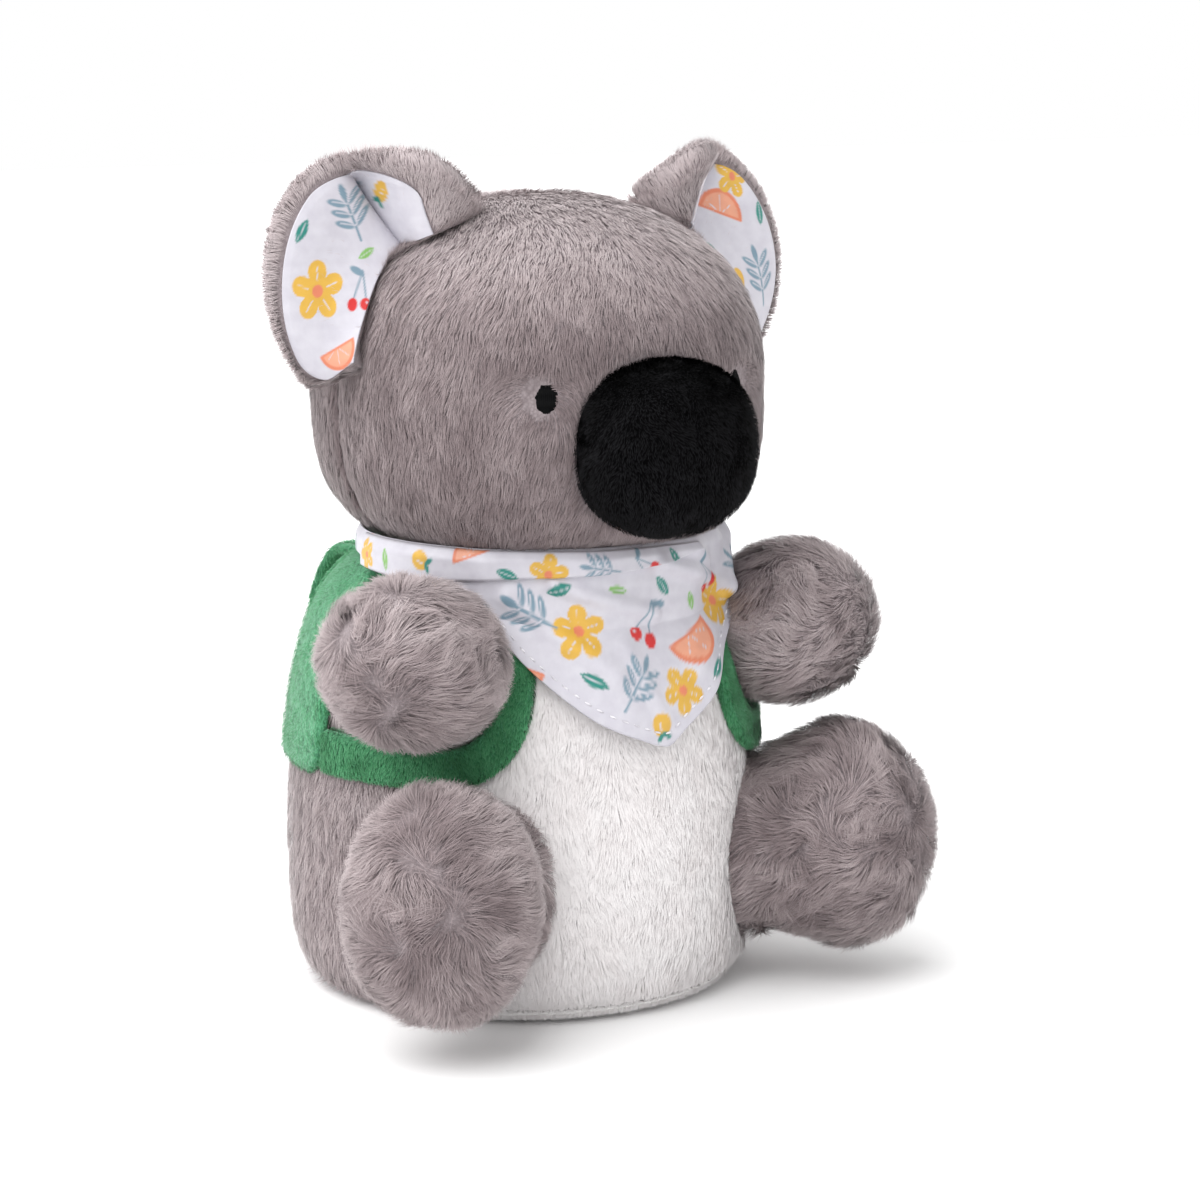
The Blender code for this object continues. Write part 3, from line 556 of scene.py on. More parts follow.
def outward_sheet(obj, centre):
    """Turns an open sheet's faces away from a centre, before it gets its thickness."""
    bm = bmesh.new()
    bm.from_mesh(obj.data)
    bm.faces.ensure_lookup_table()
    total = sum((face.calc_center_median() - Vector(centre)).dot(face.normal) for face in bm.faces)
    if total < 0:
        bmesh.ops.reverse_faces(bm, faces=bm.faces)
    bm.to_mesh(obj.data)
    bm.free()
    return obj


def limb_outline(root_radius, tip_radius, length, neck):
    """(radius, distance) points from a limb's round tip, along its taper, to its round root."""
    waist = (root_radius**2 - tip_radius**2 + length**2) / (2 * length)
    neck = min(neck, waist)
    root_start = math.acos(neck / root_radius)
    neck_radius = root_radius * math.sin(root_start)
    reach = math.hypot(length - neck, neck_radius)
    tip_end = math.atan2(neck_radius, neck - length) - math.acos(min(1.0, tip_radius / reach))
    tip = [(tip_radius * math.sin(a), length + tip_radius * math.cos(a)) for a in np.linspace(0, tip_end, 22)]
    root_end = math.pi - math.asin(0.6)
    root = [
        (root_radius * math.sin(a), root_radius * math.cos(a)) for a in np.linspace(root_start, root_end, 12)
    ]
    joined = [tuple(between(ends, t) for ends in zip(tip[-1], root[0])) for t in (0.25, 0.5, 0.75)]
    return tip + joined + root


def limb_frame(side, place):
    """A limb's root on the body, with the ways up, across and out along it."""
    origin = on_body(place["out"], place["height"], side * place["angle"])
    flat = on_body(1, 0, side * place["angle"])
    forward = flat * math.cos(place["pitch"]) + Vector((0, 0, math.sin(place["pitch"])))
    across = Vector((0, 0, 1)).cross(forward).normalized()
    up = forward.cross(across)
    return origin, up, across, forward


def limb_skin(name, side, place, sizes, material):
    """An arm or leg: two cupped panels sewn along the top and the bottom, drawn in at that seam."""
    origin, up, across, forward = limb_frame(side, place)
    outline = limb_outline(*sizes)
    last = len(outline) - 1

    def point(u, v):
        radius, distance = outline[min(int(round(v * last)), last)]
        angle = math.tau * u
        spot = origin + forward * distance
        spot += up * (place["tall"] * radius * math.cos(angle)) + across * (radius * math.sin(angle))
        outwards = (spot - (origin + forward * min(distance, sizes[2]))).normalized()
        depth = dip(abs(radius * math.sin(angle)), LIMB_SEAM_DIP)
        return filled(spot, outwards, LIMB_UNEVEN, depth)

    bm = grid_bmesh(56, last, point)
    close_holes(bm, 1e-6)
    return from_bmesh(name, bm, material)


# ---------------------------------------------------------------- ears


EAR_CREASE, EAR_CREASE_AT = 0.0088, 0.335
EAR_FORWARD_SHARES = (
    (0.0, 0.0085), (0.07, 0.0130), (0.14, 0.0152), (0.20, 0.0146), (0.25, 0.0112), (0.29, 0.0062), (0.33, 0.0022),
    (0.38, -0.0004), (0.46, -0.0008), (0.56, 0.0), (0.72, 0.0012), (0.86, 0.0010), (1.0, 0.0010),
)
EAR_FORWARD = curve_through(EAR_FORWARD_SHARES)  # (share round the rim, metres forwards)
EAR_RIM_START, EAR_RIM_SPAN, EAR_RIM_FORWARD, EAR_RIM_BACK = 0.55, 0.45, 0.0014, 0.0050
EAR_ROUND, EAR_DEEP = 0.075, 0.034  # how long the ear is round its rim, and how far it reaches from the head


def ear_middle(side, t, s):
    """The ear's middle surface: t runs round the rim from the crown side, s from the head outwards.

    Its crown side is rolled forwards over the lining, and its outer rim leans back."""
    t = max(0.0, min(1.0, t))
    base_angle, edge_angle = between(EAR_BASE_ANGLES, t), between(EAR_EDGE_ANGLES, t)
    outer = float(smooth_step(t, 0.3, 0.5))
    base = head_point(math.radians(-9) * float(smooth_step(t, 0.1, 0.4)), base_angle, EAR_CLEARANCE)
    edge_x, edge_z = EAR_HALF_WIDTH * math.cos(edge_angle), EAR_HALF_HEIGHT * math.sin(edge_angle)
    edge = Vector((EAR_X + edge_x, EAR_Y, EAR_Z + edge_z))
    point = base.lerp(edge, s)
    across = (point.x - EAR_X) / EAR_HALF_WIDTH
    up = (point.z - EAR_Z) / EAR_HALF_HEIGHT
    hollow = EAR_CUP * max(0.0, 1 - across**2 - up**2)
    forward = float(np.interp(t, EAR_FORWARD[:, 0], EAR_FORWARD[:, 1]))
    forward -= EAR_CREASE * pull(t - EAR_CREASE_AT, 0.035) * float(1 - smooth_step(s, 0.66, 1.0))
    lean = EAR_RIM_FORWARD - EAR_RIM_BACK * outer
    rim = lean * max(0.0, (s - EAR_RIM_START) / EAR_RIM_SPAN) ** 2
    inwards = max(0.0, 1 - s)
    root = (base.y - HEAD_CENTRE.y) * inwards**1.5
    return Vector((side * point.x, EAR_Y + hollow - forward - rim + root, point.z))


def ear_half(t):
    """Half the ear's thickness, less in the crease beside its roll."""
    return EAR_THICKNESS / 2 * (1 - 0.7 * pull(t - EAR_CREASE_AT, 0.06))


def ear_face(side, t, s, ahead):
    """A point ahead of the ear's middle surface, square to it."""
    step = 0.01
    along = ear_middle(side, t + step, s) - ear_middle(side, t - step, s)
    out = ear_middle(side, t, s + step) - ear_middle(side, t, s - step)
    normal = along.cross(out).normalized()
    if normal.y > 0:
        normal.negate()
    return ear_middle(side, t, s) + normal * ahead


def ear_pad(name, side, material):
    """The ear's padded back: a pillow whose rim is rounded over."""

    def place(u, v, sign):
        edge = min(u * EAR_ROUND, (1 - u) * EAR_ROUND, (1 - v) * EAR_DEEP)
        return ear_face(side, u, v, sign * ear_half(u) * swell(edge, EAR_THICKNESS / 2))

    bm = two_faced(88, 30, place)
    close_holes(bm, 2e-5)
    return from_bmesh(name, bm, material)


# ---------------------------------------------------------------- pile


def surface_samples(obj, count, seed, keep=None):
    """Random points on a mesh by area, with smooth normals."""
    mesh = obj.data
    mesh.calc_loop_triangles()
    points, normals = vectors(mesh.vertices), vectors(mesh.vertices, "normal")
    corners = vectors(mesh.loop_triangles, "vertices", int)
    if keep is not None:
        corners = corners[keep(points[corners].mean(axis=1), normals[corners].mean(axis=1))]
    a, b, c = (points[corners[:, i]] for i in range(3))
    areas = np.linalg.norm(np.cross(b - a, c - a), axis=1) / 2
    rng = np.random.default_rng(seed)
    picked = corners[rng.choice(len(corners), count, p=areas / areas.sum())]
    r1, r2 = np.sqrt(rng.random(count))[:, None], rng.random(count)[:, None]
    weights = (1 - r1, r1 * (1 - r2), r1 * r2)
    spots, facing = (sum(w * values[picked[:, i]] for i, w in enumerate(weights)) for values in (points, normals))
    return spots, unit(facing), rng


def unit(vectors):
    return vectors / np.maximum(np.linalg.norm(vectors, axis=-1, keepdims=True), 1e-9)


def clear_of(blocked, root, middle, tip, facing):
    """Which blades meet nothing on their way from root to tip."""
    free = np.ones(len(root), bool)
    for i in range(len(root)):
        start = Vector(root[i] + facing[i] * PILE_START)
        for end in (Vector(middle[i]), Vector(tip[i])):
            way = end - start
            if blocked.ray_cast(start, way.normalized(), way.length)[0] is not None:
                free[i] = False
                break
    return free


def pile(
    name, skin, body, slot, material, flow, length, count, seed, width=0.14, lean=(30, 3), tangle=(0.16, 0.22),
    mottle=(0.22, 0.16, 0.12), keep=None, blocked=None, tint=None,
):
    """Pile as fine blades: each leaves the skin, bends over and lies along the flow.

    length and width are in millimetres, lean in degrees from the skin at root and tip, tangle how far
    tufts stray from the flow, and mottle how much tone changes by tuft, by patch and by fibre."""
    count = int(count * DENSITY)
    spots, facing, rng = surface_samples(skin, count, seed, keep)
    patch, tuft = drift(spots, 0.008), drift(spots + 0.5, 0.0026)
    heading = flow(spots, facing)
    heading = unit(heading - facing * np.sum(heading * facing, axis=1)[:, None])
    side = np.cross(facing, heading)
    stray = tangle[0] * 2 * patch[:, 0] + tangle[1] * 2 * tuft[:, 0] + rng.normal(0, 0.10, count)
    heading = heading * np.cos(stray)[:, None] + side * np.sin(stray)[:, None]
    long = length(spots) if callable(length) else np.full(count, float(length))
    long = (long * MM * rng.uniform(0.75, 1.15, count))[:, None] / 2
    lift = np.radians(np.array(lean))[:, None] * (1 + 0.3 * tuft[:, 1] + rng.normal(0, 0.14, count))
    grown = long[:, 0] > PILE_SHORTEST
    spots, facing, heading, long, patch, tuft = (x[grown] for x in (spots, facing, heading, long, patch, tuft))
    root = spots - facing * PILE_ROOT

    def bent(start, turn):
        return start + long * (heading * np.cos(turn)[:, None] + facing * np.sin(turn)[:, None])

    middle = bent(root, lift[0, grown])
    tip = bent(middle, lift[1, grown])
    if blocked is not None:
        free = clear_of(blocked, root, middle, tip, facing)
        root, middle, tip, facing, heading, spots, patch, tuft = (
            x[free] for x in (root, middle, tip, facing, heading, spots, patch, tuft)
        )
    count = len(root)
    flat = np.cross(heading, facing) + facing * rng.normal(0, 0.25, count)[:, None]
    half = unit(flat) * (width / 2 * MM * rng.uniform(0.7, 1.2, count))[:, None]
    points = np.stack([root, middle - half, middle + half, tip], axis=1).reshape(-1, 3)
    points[:, 2] = np.maximum(points[:, 2], PILE_FLOOR)
    faces = (np.arange(count) * 4)[:, None] + (0, 2, 1, 1, 2, 3)
    tone = 0.55 + mottle[0] * tuft[:, 2] + mottle[1] * patch[:, 3] + rng.normal(0, mottle[2], count)
    # tint adds painted light and shade to the tone, and for the head also its overall tone
    if tint is not None:
        tone = tone + tint(spots)
    tone = np.clip(tone, 0.03, 0.97)
    mesh = bpy.data.meshes.new(name)
    mesh.vertices.add(count * 4)
    mesh.vertices.foreach_set("co", points.astype(np.float32).ravel())
    mesh.loops.add(count * 6)
    mesh.loops.foreach_set("vertex_index", faces.astype(np.int32).ravel())
    mesh.polygons.add(count * 2)
    mesh.polygons.foreach_set("loop_start", np.arange(0, count * 6, 3, dtype=np.int32))
    uv = np.empty((count, 6, 2))
    uv[:, :, 0] = (0.02, 0.5, 0.5, 0.5, 0.5, 0.98)
    uv[:, :, 1] = tone[:, None] + 0.02 * np.array((0, 1, -1, -1, 1, 0))
    mesh.uv_layers.new(name="OFBake").data.foreach_set("uv", uv.astype(np.float32).ravel())
    mesh.update(calc_edges=True)
    mesh.materials.append(material)
    mesh.polygons.foreach_set("use_smooth", np.ones(count * 2, bool))
    mesh.normals_split_custom_set_from_vertices(np.repeat(facing, 4, axis=0).astype(np.float32))
    return ready(linked(name, mesh), body, slot)


def blockers(*objects):
    """What the pile must not grow through, as one search tree."""
    points, faces = [], []
    for obj in objects:
        start = len(points)
        points.extend(v.co.copy() for v in obj.data.vertices)
        faces.extend([start + i for i in polygon.vertices] for polygon in obj.data.polygons)
    return BVHTree.FromPolygons(points, faces)


def outer(centre):
    """Keeps the faces of a skin that look away from a centre."""
    return lambda middles, facing: np.sum((middles - np.array(centre)) * facing, axis=1) > 0


def downwards(spots, sideways=0.0):
    down = np.zeros_like(spots)
    down[:, 2] = -1
    down[:, 0] = sideways
    return down


def flow_head(spots, facing):
    """From the crown down over the face and cheeks, a little outwards, and away from the eyes."""
    across = spots[:, 0] - HEAD_CENTRE.x
    down = downwards(spots, 0.18 * np.sign(across) * np.minimum(1, np.abs(across) / 0.02))
    crown = smooth_step(spots[:, 2], 0.197, 0.211)
    down[:, 1] += 0.9 * crown * np.where(spots[:, 1] < HEAD_SEAM_Y, -1, 1)
    for eye in (-1, 1):
        to = spots - np.array((eye * EYE_X, 0, EYE_Z - EYE_DOWN))
        to[:, 1] = 0
        near = bell(np.linalg.norm(to, axis=1), 0.0085) * (spots[:, 1] < FACE_Y)
        down += 1.8 * near[:, None] * unit(to)
    return down


def flow_down(spots, facing):
    return downwards(spots, 0.05)


def flow_out(spots, facing):
    """From the seat's middle to its seam."""
    out = unit(spots * (1, 1, 0))
    out[:, 2] = -0.4
    return out


def flow_in(spots, facing):
    """Towards the seat's middle."""
    return -unit(spots * (1, 1, 0))


def flow_limb(side, place, sizes):
    """Away on every side from a curved parting on the limb's end, and a little down."""
    origin, up, across, forward = limb_frame(side, place)
    # shade: painted shade over the whole limb, deeper on the legs than on the arms
    rise, tall, shade = (-0.010, 0.006, -0.1) if place is ARM else (0.004, 0.012, -0.18)
    middle = origin + forward * (sizes[2] + sizes[1] * 0.8) + up * rise
    parting = np.array(
        [
            middle + up * (tall * a) - across * (side * 0.8 * tall * (0.9 - a * a))
            for a in np.linspace(-1, 1, 13)
        ]
    )

    def nearest(spots):
        away = np.linalg.norm(spots[:, None, :] - parting[None, :, :], axis=2)
        return parting[away.argmin(axis=1)], away.min(axis=1)

    def flow(spots, facing):
        bent = spots + 0.004 * drift(spots + 0.4, 0.009)[:, :3]
        out = unit(bent - nearest(bent)[0]) + 1.1 * drift(spots + 0.2, 0.0065)[:, :3]
        out += 0.9 * drift(spots + 0.7, 0.013)[:, :3]
        out[:, 2] -= 0.15
        return out

    def limb_painted_shade(spots):
        """Painted shade: darker where the pile parts and the roots show, and darker on the legs than the arms;
        its tone also drifts at random.
        """
        return shade - 0.28 * bell(nearest(spots)[1], 0.006) + 0.14 * drift(spots + 0.3, 0.012)[:, 1]

    return flow, limb_painted_shade


def flow_nose(spots, facing):
    """Down, and forwards over the top."""
    down = downwards(spots)
    down[:, 1] = -1.2 * smooth_step(facing[:, 2], 0.3, 0.9)
    return down


def flow_ear(side):
    """Outwards from the ear's middle to its rim."""
    return lambda spots, facing: (spots - (side * EAR_X * 0.88, EAR_Y, EAR_Z - 0.004)) * (1, 0.15, 1)


# ---------------------------------------------------------------- printed cloth

YELLOW, CORAL, RED, SLATE, TEAL, GREEN, WHITE = (
    np.array(linear(code))
    for code in ("#dfb148", "#e08361", "#d22c2b", "#7c97a7", "#2b877b", "#84ba63", "#d3d1d9")
)


def edge_share(inside, size):
    """How far a point is covered: inside is a distance in motif units, and the ink's edge is 0.3 mm soft."""
    return np.clip(inside * size / 0.3 + 0.5, 0, 1)


def near_line(x, y, a, b, wide):
    """How far inside a line of some half width, from a to b."""
    a, b = np.array(a), np.array(b)
    way = b - a
    t = np.clip(((x - a[0]) * way[0] + (y - a[1]) * way[1]) / (way @ way), 0, 1)
    return wide - np.hypot(x - a[0] - t * way[0], y - a[1] - t * way[1])


def turned(x, y, degrees):
    c, s = math.cos(math.radians(degrees)), math.sin(math.radians(degrees))
    return x * c + y * s, -x * s + y * c


def oval(x, y, centre, half, turn):
    along, across = turned(x - centre[0], y - centre[1], turn)
    return (1 - np.hypot(along / half[0], across / half[1])) * min(half)


def blossom(x, y):
    r, angle = np.hypot(x, y), np.arctan2(y, x)
    petals = 0.42 + 0.55 * np.abs(np.cos(2.5 * angle)) ** 0.6 - r
    veins = np.minimum(0.05 - np.abs(np.sin(2.5 * angle)) * r, np.minimum(r - 0.34, 0.76 - r))
    return [(YELLOW, petals), (WHITE, veins), (CORAL, 0.2 - r)]


def slice_of_fruit(x, y):
    r, angle = np.hypot(x, y), np.arctan2(y, x)
    lines = np.minimum(0.05 - np.abs(np.sin(3.5 * (angle + 0.45))) * r, 0.74 - r)
    return [
        (CORAL, np.minimum(1 - r, -y)),
        (np.array(linear("#e8a385")), np.minimum(0.84 - r, -y - 0.1)),
        (WHITE, np.minimum(lines, -y - 0.12)),
    ]


def berries(x, y):
    stems = [near_line(x, y, start, (0.1, 0.85), 0.045) for start in ((-0.42, -0.35), (0.3, -0.5))]
    return [
        (SLATE, np.maximum(*stems)),
        (SLATE, oval(x, y, (0.42, 0.8), (0.42, 0.16), 15)),
        (RED, oval(x, y, (-0.42, -0.55), (0.3, 0.27), 0)),
        (RED, oval(x, y, (0.3, -0.7), (0.28, 0.3), 0)),
        (WHITE, oval(x, y, (-0.5, -0.47), (0.07, 0.05), 30)),
    ]


def sprig(x, y):
    leaves, ribs = [oval(x, y, (0, 0.78), (0.3, 0.12), 90)], []
    for up in (-0.45, -0.05, 0.35):
        for sign in (-1, 1):
            leaves.append(oval(x, y, (sign * 0.36, up + 0.2), (0.38, 0.12), 90 - sign * 52))
            ribs.append(near_line(x, y, (0, up), (sign * 0.5, up + 0.33), 0.02))
    return [
        (SLATE, near_line(x, y, (0, -1), (0, 0.8), 0.045)),
        (SLATE, np.max(leaves, axis=0)),
        (WHITE, np.max(ribs, axis=0)),
    ]


def leaf(x, y, ink=TEAL):
    return [
        (ink, np.minimum(0.42 * (1 - y**2) - np.abs(x), 1 - np.abs(y))),
        (WHITE, np.minimum(0.035 - np.abs(x), 0.7 - np.abs(y))),
    ]


def green_leaf(x, y):
    return leaf(x, y, GREEN)


def bud(x, y):
    return [
        (YELLOW, oval(x, y, (0, 0.1), (0.75, 0.62), 90)),
        (WHITE, near_line(x, y, (-0.1, 0.3), (-0.1, -0.2), 0.05)),
        (TEAL, oval(x, y, (-0.22, -0.62), (0.36, 0.17), 40)),
        (TEAL, oval(x, y, (0.24, -0.62), (0.36, 0.17), -40)),
    ]


# Motifs on the flat cloth: kind, place in millimetres, size in millimetres and turn in degrees
BANDANA_MOTIFS = (
    (blossom, -17, 103, 7.5, 20), (sprig, -30, 108, 8, 60), (berries, 3, 104, 6.5, -15),
    (slice_of_fruit, 16, 100, 7.5, 25), (sprig, -3, 89, 7.5, -35), (blossom, 11, 86, 6.5, 50),
    (leaf, -14, 91, 4, 60), (bud, 3, 78, 4.2, 10), (leaf, 24, 90, 3.6, -50), (blossom, 31, 106, 7, 5),
    (berries, 26, 114, 5, 40), (green_leaf, -6, 113, 3, 80), (slice_of_fruit, -32, 95, 6, -20),
    (leaf, 9, 113, 3.5, 40), (berries, -45, 104, 5.5, 10), (bud, -58, 116, 4.5, 80), (sprig, 45, 112, 6.5, 30),
    (blossom, -78, 118, 5.5, 10), (leaf, -68, 119, 3, 20), (slice_of_fruit, -90, 119, 4.5, 170),
    (bud, 62, 119, 4, 60), (blossom, 78, 118, 5, 0), (leaf, 90, 119, 3, 10), (berries, 105, 119, 4, 70),
    (blossom, 125, 119, 5, 30), (leaf, 142, 119, 3, 0), (slice_of_fruit, 160, 120, 4.5, 10),
    (blossom, 180, 119, 5, 30), (leaf, -165, 119, 3, 30), (bud, -148, 119, 4, 90), (berries, -125, 119, 4, 70),
    (leaf, -108, 119, 3, 0), (green_leaf, 19, 108, 2.6, 10), (leaf, -22, 114, 3.2, 100),
)
BAND_MOTIFS = (
    (bud, -62, 120, 4, 70), (slice_of_fruit, -46, 122, 5.5, 200), (leaf, -36, 118, 3.2, 70),
    (blossom, -25, 118, 5.5, 10), (sprig, -11, 119, 5.5, 80), (berries, 2, 119, 4.2, 60),
    (green_leaf, -77, 119, 3, 10), (blossom, -88, 119, 4.5, 40), (leaf, 12, 120, 3, 20),
)
EAR_MOTIFS = {
    -1: (
        (sprig, 3, 16, 7.5, -25), (blossom, 12, -3, 8, 15), (berries, -1, -3, 5.5, 10),
        (slice_of_fruit, 6, -17, 6, -25), (leaf, 17, 12, 3.4, 30), (bud, -6, 21, 4, 30),
        (green_leaf, -2, 6, 2.6, 60), (leaf, -6, -11, 3, -20),
    ),
    1: (
        (slice_of_fruit, 4, 12, 7, 160), (sprig, 14, -5, 8, 10), (bud, 3, -6, 4.5, -20),
        (blossom, 10, 22, 6, 0), (berries, 6, -19, 5.5, 20), (leaf, 18, 12, 3.4, -10), (leaf, -4, 3, 3, 40),
    ),
}


def print_ink(mesh, flat, motifs):
    """Lays the cloth's colour on a mesh whose vertices lie at flat places in millimetres."""
    ink = np.tile(WHITE, (len(flat), 1))
    for motif, x, y, size, turn in motifs:
        dx, dy = (flat[:, 0] - x) / size, (flat[:, 1] - y) / size
        near = np.hypot(dx, dy) < 1.3
        for colour, inside in motif(*turned(dx[near], dy[near], turn)):
            cover = edge_share(inside, size)[:, None]
            ink[near] = ink[near] * (1 - cover) + colour * cover
    layer = mesh.color_attributes.new("print", "FLOAT_COLOR", "POINT")
    layer.data.foreach_set("color", np.concatenate([ink, np.ones((len(ink), 1))], axis=1).ravel())


def printed_sheet(name, columns, rows, place, flat_of, motifs, thickness, offset, loop=False):
    """A printed cloth: a fine grid laid by place(u, v), its ink worked out on the flat cloth."""
    bm = grid_bmesh(columns, rows, place)
    mesh = bpy.data.meshes.new(name)
    bm.to_mesh(mesh)
    bm.free()
    print_ink(mesh, flat_of(vectors(mesh.vertices)), motifs)
    mesh.materials.append(finish["satin"])
    mesh.shade_smooth()
    obj = linked(name, mesh)
    if loop:
        applied(obj, "WELD", merge_threshold=1e-5)
    return applied(obj, "SOLIDIFY", thickness=thickness, offset=offset)


BANDANA_DROP_SHARES = (
    (-180, 0.13), (-105, 0.13), (-96, 0.165), (-75, 0.18), (-60, 0.21), (-50, 0.28), (-41, 0.42), (-34, 0.57),
    (-24, 0.75), (-16, 0.87), (-6, 0.965), (-1.5, 1.0), (1.5, 1.0), (6, 0.935), (16, 0.79), (24, 0.62),
    (34, 0.42), (41, 0.23), (60, 0.165), (90, 0.17), (120, 0.15), (180, 0.13),
)
BANDANA_DROPS = curve_through(BANDANA_DROP_SHARES, 6)
MM_PER_DEGREE, MM_PER_RADIAN = 1.08, 60
# Soft folds in the cloth: from an angle and height to another, width and depth, in degrees and millimetres
BANDANA_RIDGES = (
    (50, 124, 36, 109, 2.6, 3.0), (36, 109, 16, 93, 3.0, 1.7), (-34, 112, -8, 92, 2.8, 1.5),
    (-22, 115, 6, 106, 1.9, 1.4), (8, 119, 30, 112, 1.9, 1.9), (-4, 98, 4, 80, 2.6, 0.9),
    (22, 121, 28, 117, 2.0, 1.2),
)


def bandana_radius(angle, height):
    """The cloth's inner face at an angle and a height, with its folds."""
    ring = math.sqrt(COLLAR_RADIUS**2 - (COLLAR_Y * math.sin(angle)) ** 2)
    collar = ring - COLLAR_Y * math.cos(angle)
    folds = sum(depth * pull(angle / math.tau - place, width) for place, width, depth in BANDANA_FOLD_SHARES)
    radius = max(meridian.radius(height, MINKY + 3 * GAP), collar)
    creases = drift([(angle * 0.06, 0.0, height * 0.6)], 0.011)[0][0]
    flat = np.array((math.degrees(angle), height / MM))
    for start_angle, start, end_angle, end, width, depth in BANDANA_RIDGES:
        a, b = np.array((start_angle, start)), np.array((end_angle, end))
        way, scale = b - a, np.array((MM_PER_DEGREE, 1.0))
        t = np.clip(((flat - a) * scale) @ (way * scale) / np.sum((way * scale) ** 2), 0, 1)
        folds += depth * MM / BANDANA_FOLD * pull(np.linalg.norm((flat - a - way * t) * scale), width)
    tuck = 0.0016 * smooth_step(height, BANDANA_TOP - 0.0035, BANDANA_TOP)
    hang = smooth_step(BANDANA_TOP - height, 0.004, 0.02)
    return radius + BANDANA_FOLD * folds + 0.0009 * (creases + 0.3) * hang - float(tuck)


def bandana_place(u, v):
    """u round the neck, with more columns near the tip, v from the lower edge to the top."""
    turn = u - 0.5
    return bandana_at(math.tau * (0.7 * turn + 1.2 * turn**3), v)


def bandana_at(from_tip, v):
    angle = from_tip + BANDANA_TURN
    drop = float(np.interp(math.degrees(from_tip), BANDANA_DROPS[:, 0], BANDANA_DROPS[:, 1]))
    lowest = BANDANA_TOP - BANDANA_DROP * drop
    height = between((lowest, BANDANA_TOP - 0.0008), v)
    return on_body(bandana_radius(angle, height), height, angle)


def round_neck(points):
    """Flat places on the bandana: millimetres round the neck and up."""
    return np.stack([np.arctan2(points[:, 0], -points[:, 1]) * MM_PER_RADIAN, points[:, 2] * 1000], axis=1)


# ---------------------------------------------------------------- backpack


def strap_route(u):
    """The strap's middle line on the unrolled body, as (across, rise) from the arm's root."""
    front = ARM_SIZES[0] + LIMB_CLEARANCE + STRAP_EASE + STRAP_WIDTH / 2
    back = (PANEL_EDGE_ANGLE - ARM["angle"]) * TORSO_RADIUS - GAP
    straight = back / (2 * back + math.pi * (front + STRAP_RISE) / 2)
    if u < straight:
        return back * (1 - u / straight), STRAP_RISE
    if u > 1 - straight:
        return back * (1 - (1 - u) / straight), -STRAP_FALL
    angle = math.pi / 2 + math.pi * (u - straight) / (1 - 2 * straight)
    rise = signed_power(math.sin(angle), STRAP_CORNER_SHARE)
    reach = abs(math.cos(angle)) ** STRAP_CORNER_SHARE
    return -front * reach, rise * (STRAP_RISE if rise > 0 else STRAP_FALL)


def strap_point(side, u, v, proud):
    """u along the strap, v across it."""
    step = 0.01
    across, rise = strap_route(u)
    before, after = strap_route(max(0.0, u - step)), strap_route(min(1.0, u + step))
    heading = Vector((after[0] - before[0], after[1] - before[1])).normalized()
    narrow = STRAP_TAPER_SHARE + (1 - STRAP_TAPER_SHARE) * u
    offset = (v - 0.5) * STRAP_WIDTH * narrow
    across += heading.y * offset
    rise -= heading.x * offset
    along = min(meridian.along_at(ARM["height"]) + rise, meridian.length)
    radius, height = meridian.at(along, proud)
    angle = ARM["angle"] + across / TORSO_RADIUS
    return on_body(radius, height, side * angle)


def panel_place(u, v, lift):
    """u round the back from strap to strap, v from the lower edge up."""
    low, high = meridian.along_at(PANEL_BOTTOM), meridian.along_at(PANEL_TOP)
    angle = PANEL_EDGE_ANGLE + 2 * (math.pi - PANEL_EDGE_ANGLE) * u
    edge = min(u, 1 - u) * 2 * (math.pi - PANEL_EDGE_ANGLE) * TORSO_RADIUS
    corner = PANEL_CORNER * (1 - math.sqrt(1 - (1 - min(1.0, edge / PANEL_CORNER)) ** 2))
    low, high = low + corner, high - 0.4 * corner
    return on_body(*meridian.at(between((low, high), v), PANEL_GAP + lift), angle)


def pillow_sheet(name, columns, rows, place, thickness, material, edge):
    """A soft flat piece laid by place(u, v, lift), its rim rounded; edge(u, v) is the distance from the rim."""

    def put(u, v, sign):
        return place(u, v, thickness / 2 * (1 + sign * swell(edge(u, v), thickness / 2)))

    return from_bmesh(name, two_faced(columns, rows, put), material, doubles=2e-5)


def rim_within(wide, tall):
    """The distance from the rim of a piece that is so wide and tall."""
    return lambda u, v: min(u * wide, (1 - u) * wide, v * tall, (1 - v) * tall)


POUCH_PROFILE_SHARES = (
    (0.0, 0.0), (0.6, 0.0), (0.9, 0.03), (1.0, 0.17), (0.98, 0.45), (0.9, 0.75), (0.76, 0.92), (0.64, 0.985),
)
POUCH_PROFILE = curve_through(POUCH_PROFILE_SHARES, 6)


def on_curve(curve, spot):
    """The point of a curve at a place counted in its points."""
    return np.array([np.interp(spot, range(len(curve)), curve[:, i]) for i in (0, 1)])


def pouch_place(u, v):
    """The pouch's outer face: u round it from one side to the other, v from under it up to its mouth."""
    depth_share, rise_share = (float(share) for share in on_curve(POUCH_PROFILE, v * (len(POUCH_PROFILE) - 1)))
    angle = math.pi * (1 - u)
    x = POUCH_WIDTH / 2 * signed_power(math.cos(angle), POUCH_CORNER_SHARE)
    height = POUCH_BOTTOM + POUCH_HEIGHT * rise_share
    near = meridian.radius(height, PANEL_GAP + MINKY + GAP)
    start = math.sqrt(max(near**2 - x**2, 0.0))
    y = start + (POUCH_BACK + POUCH_DEPTH * depth_share - start) * math.sin(angle) ** POUCH_CORNER_SHARE
    return Vector((x, max(y, start), height))


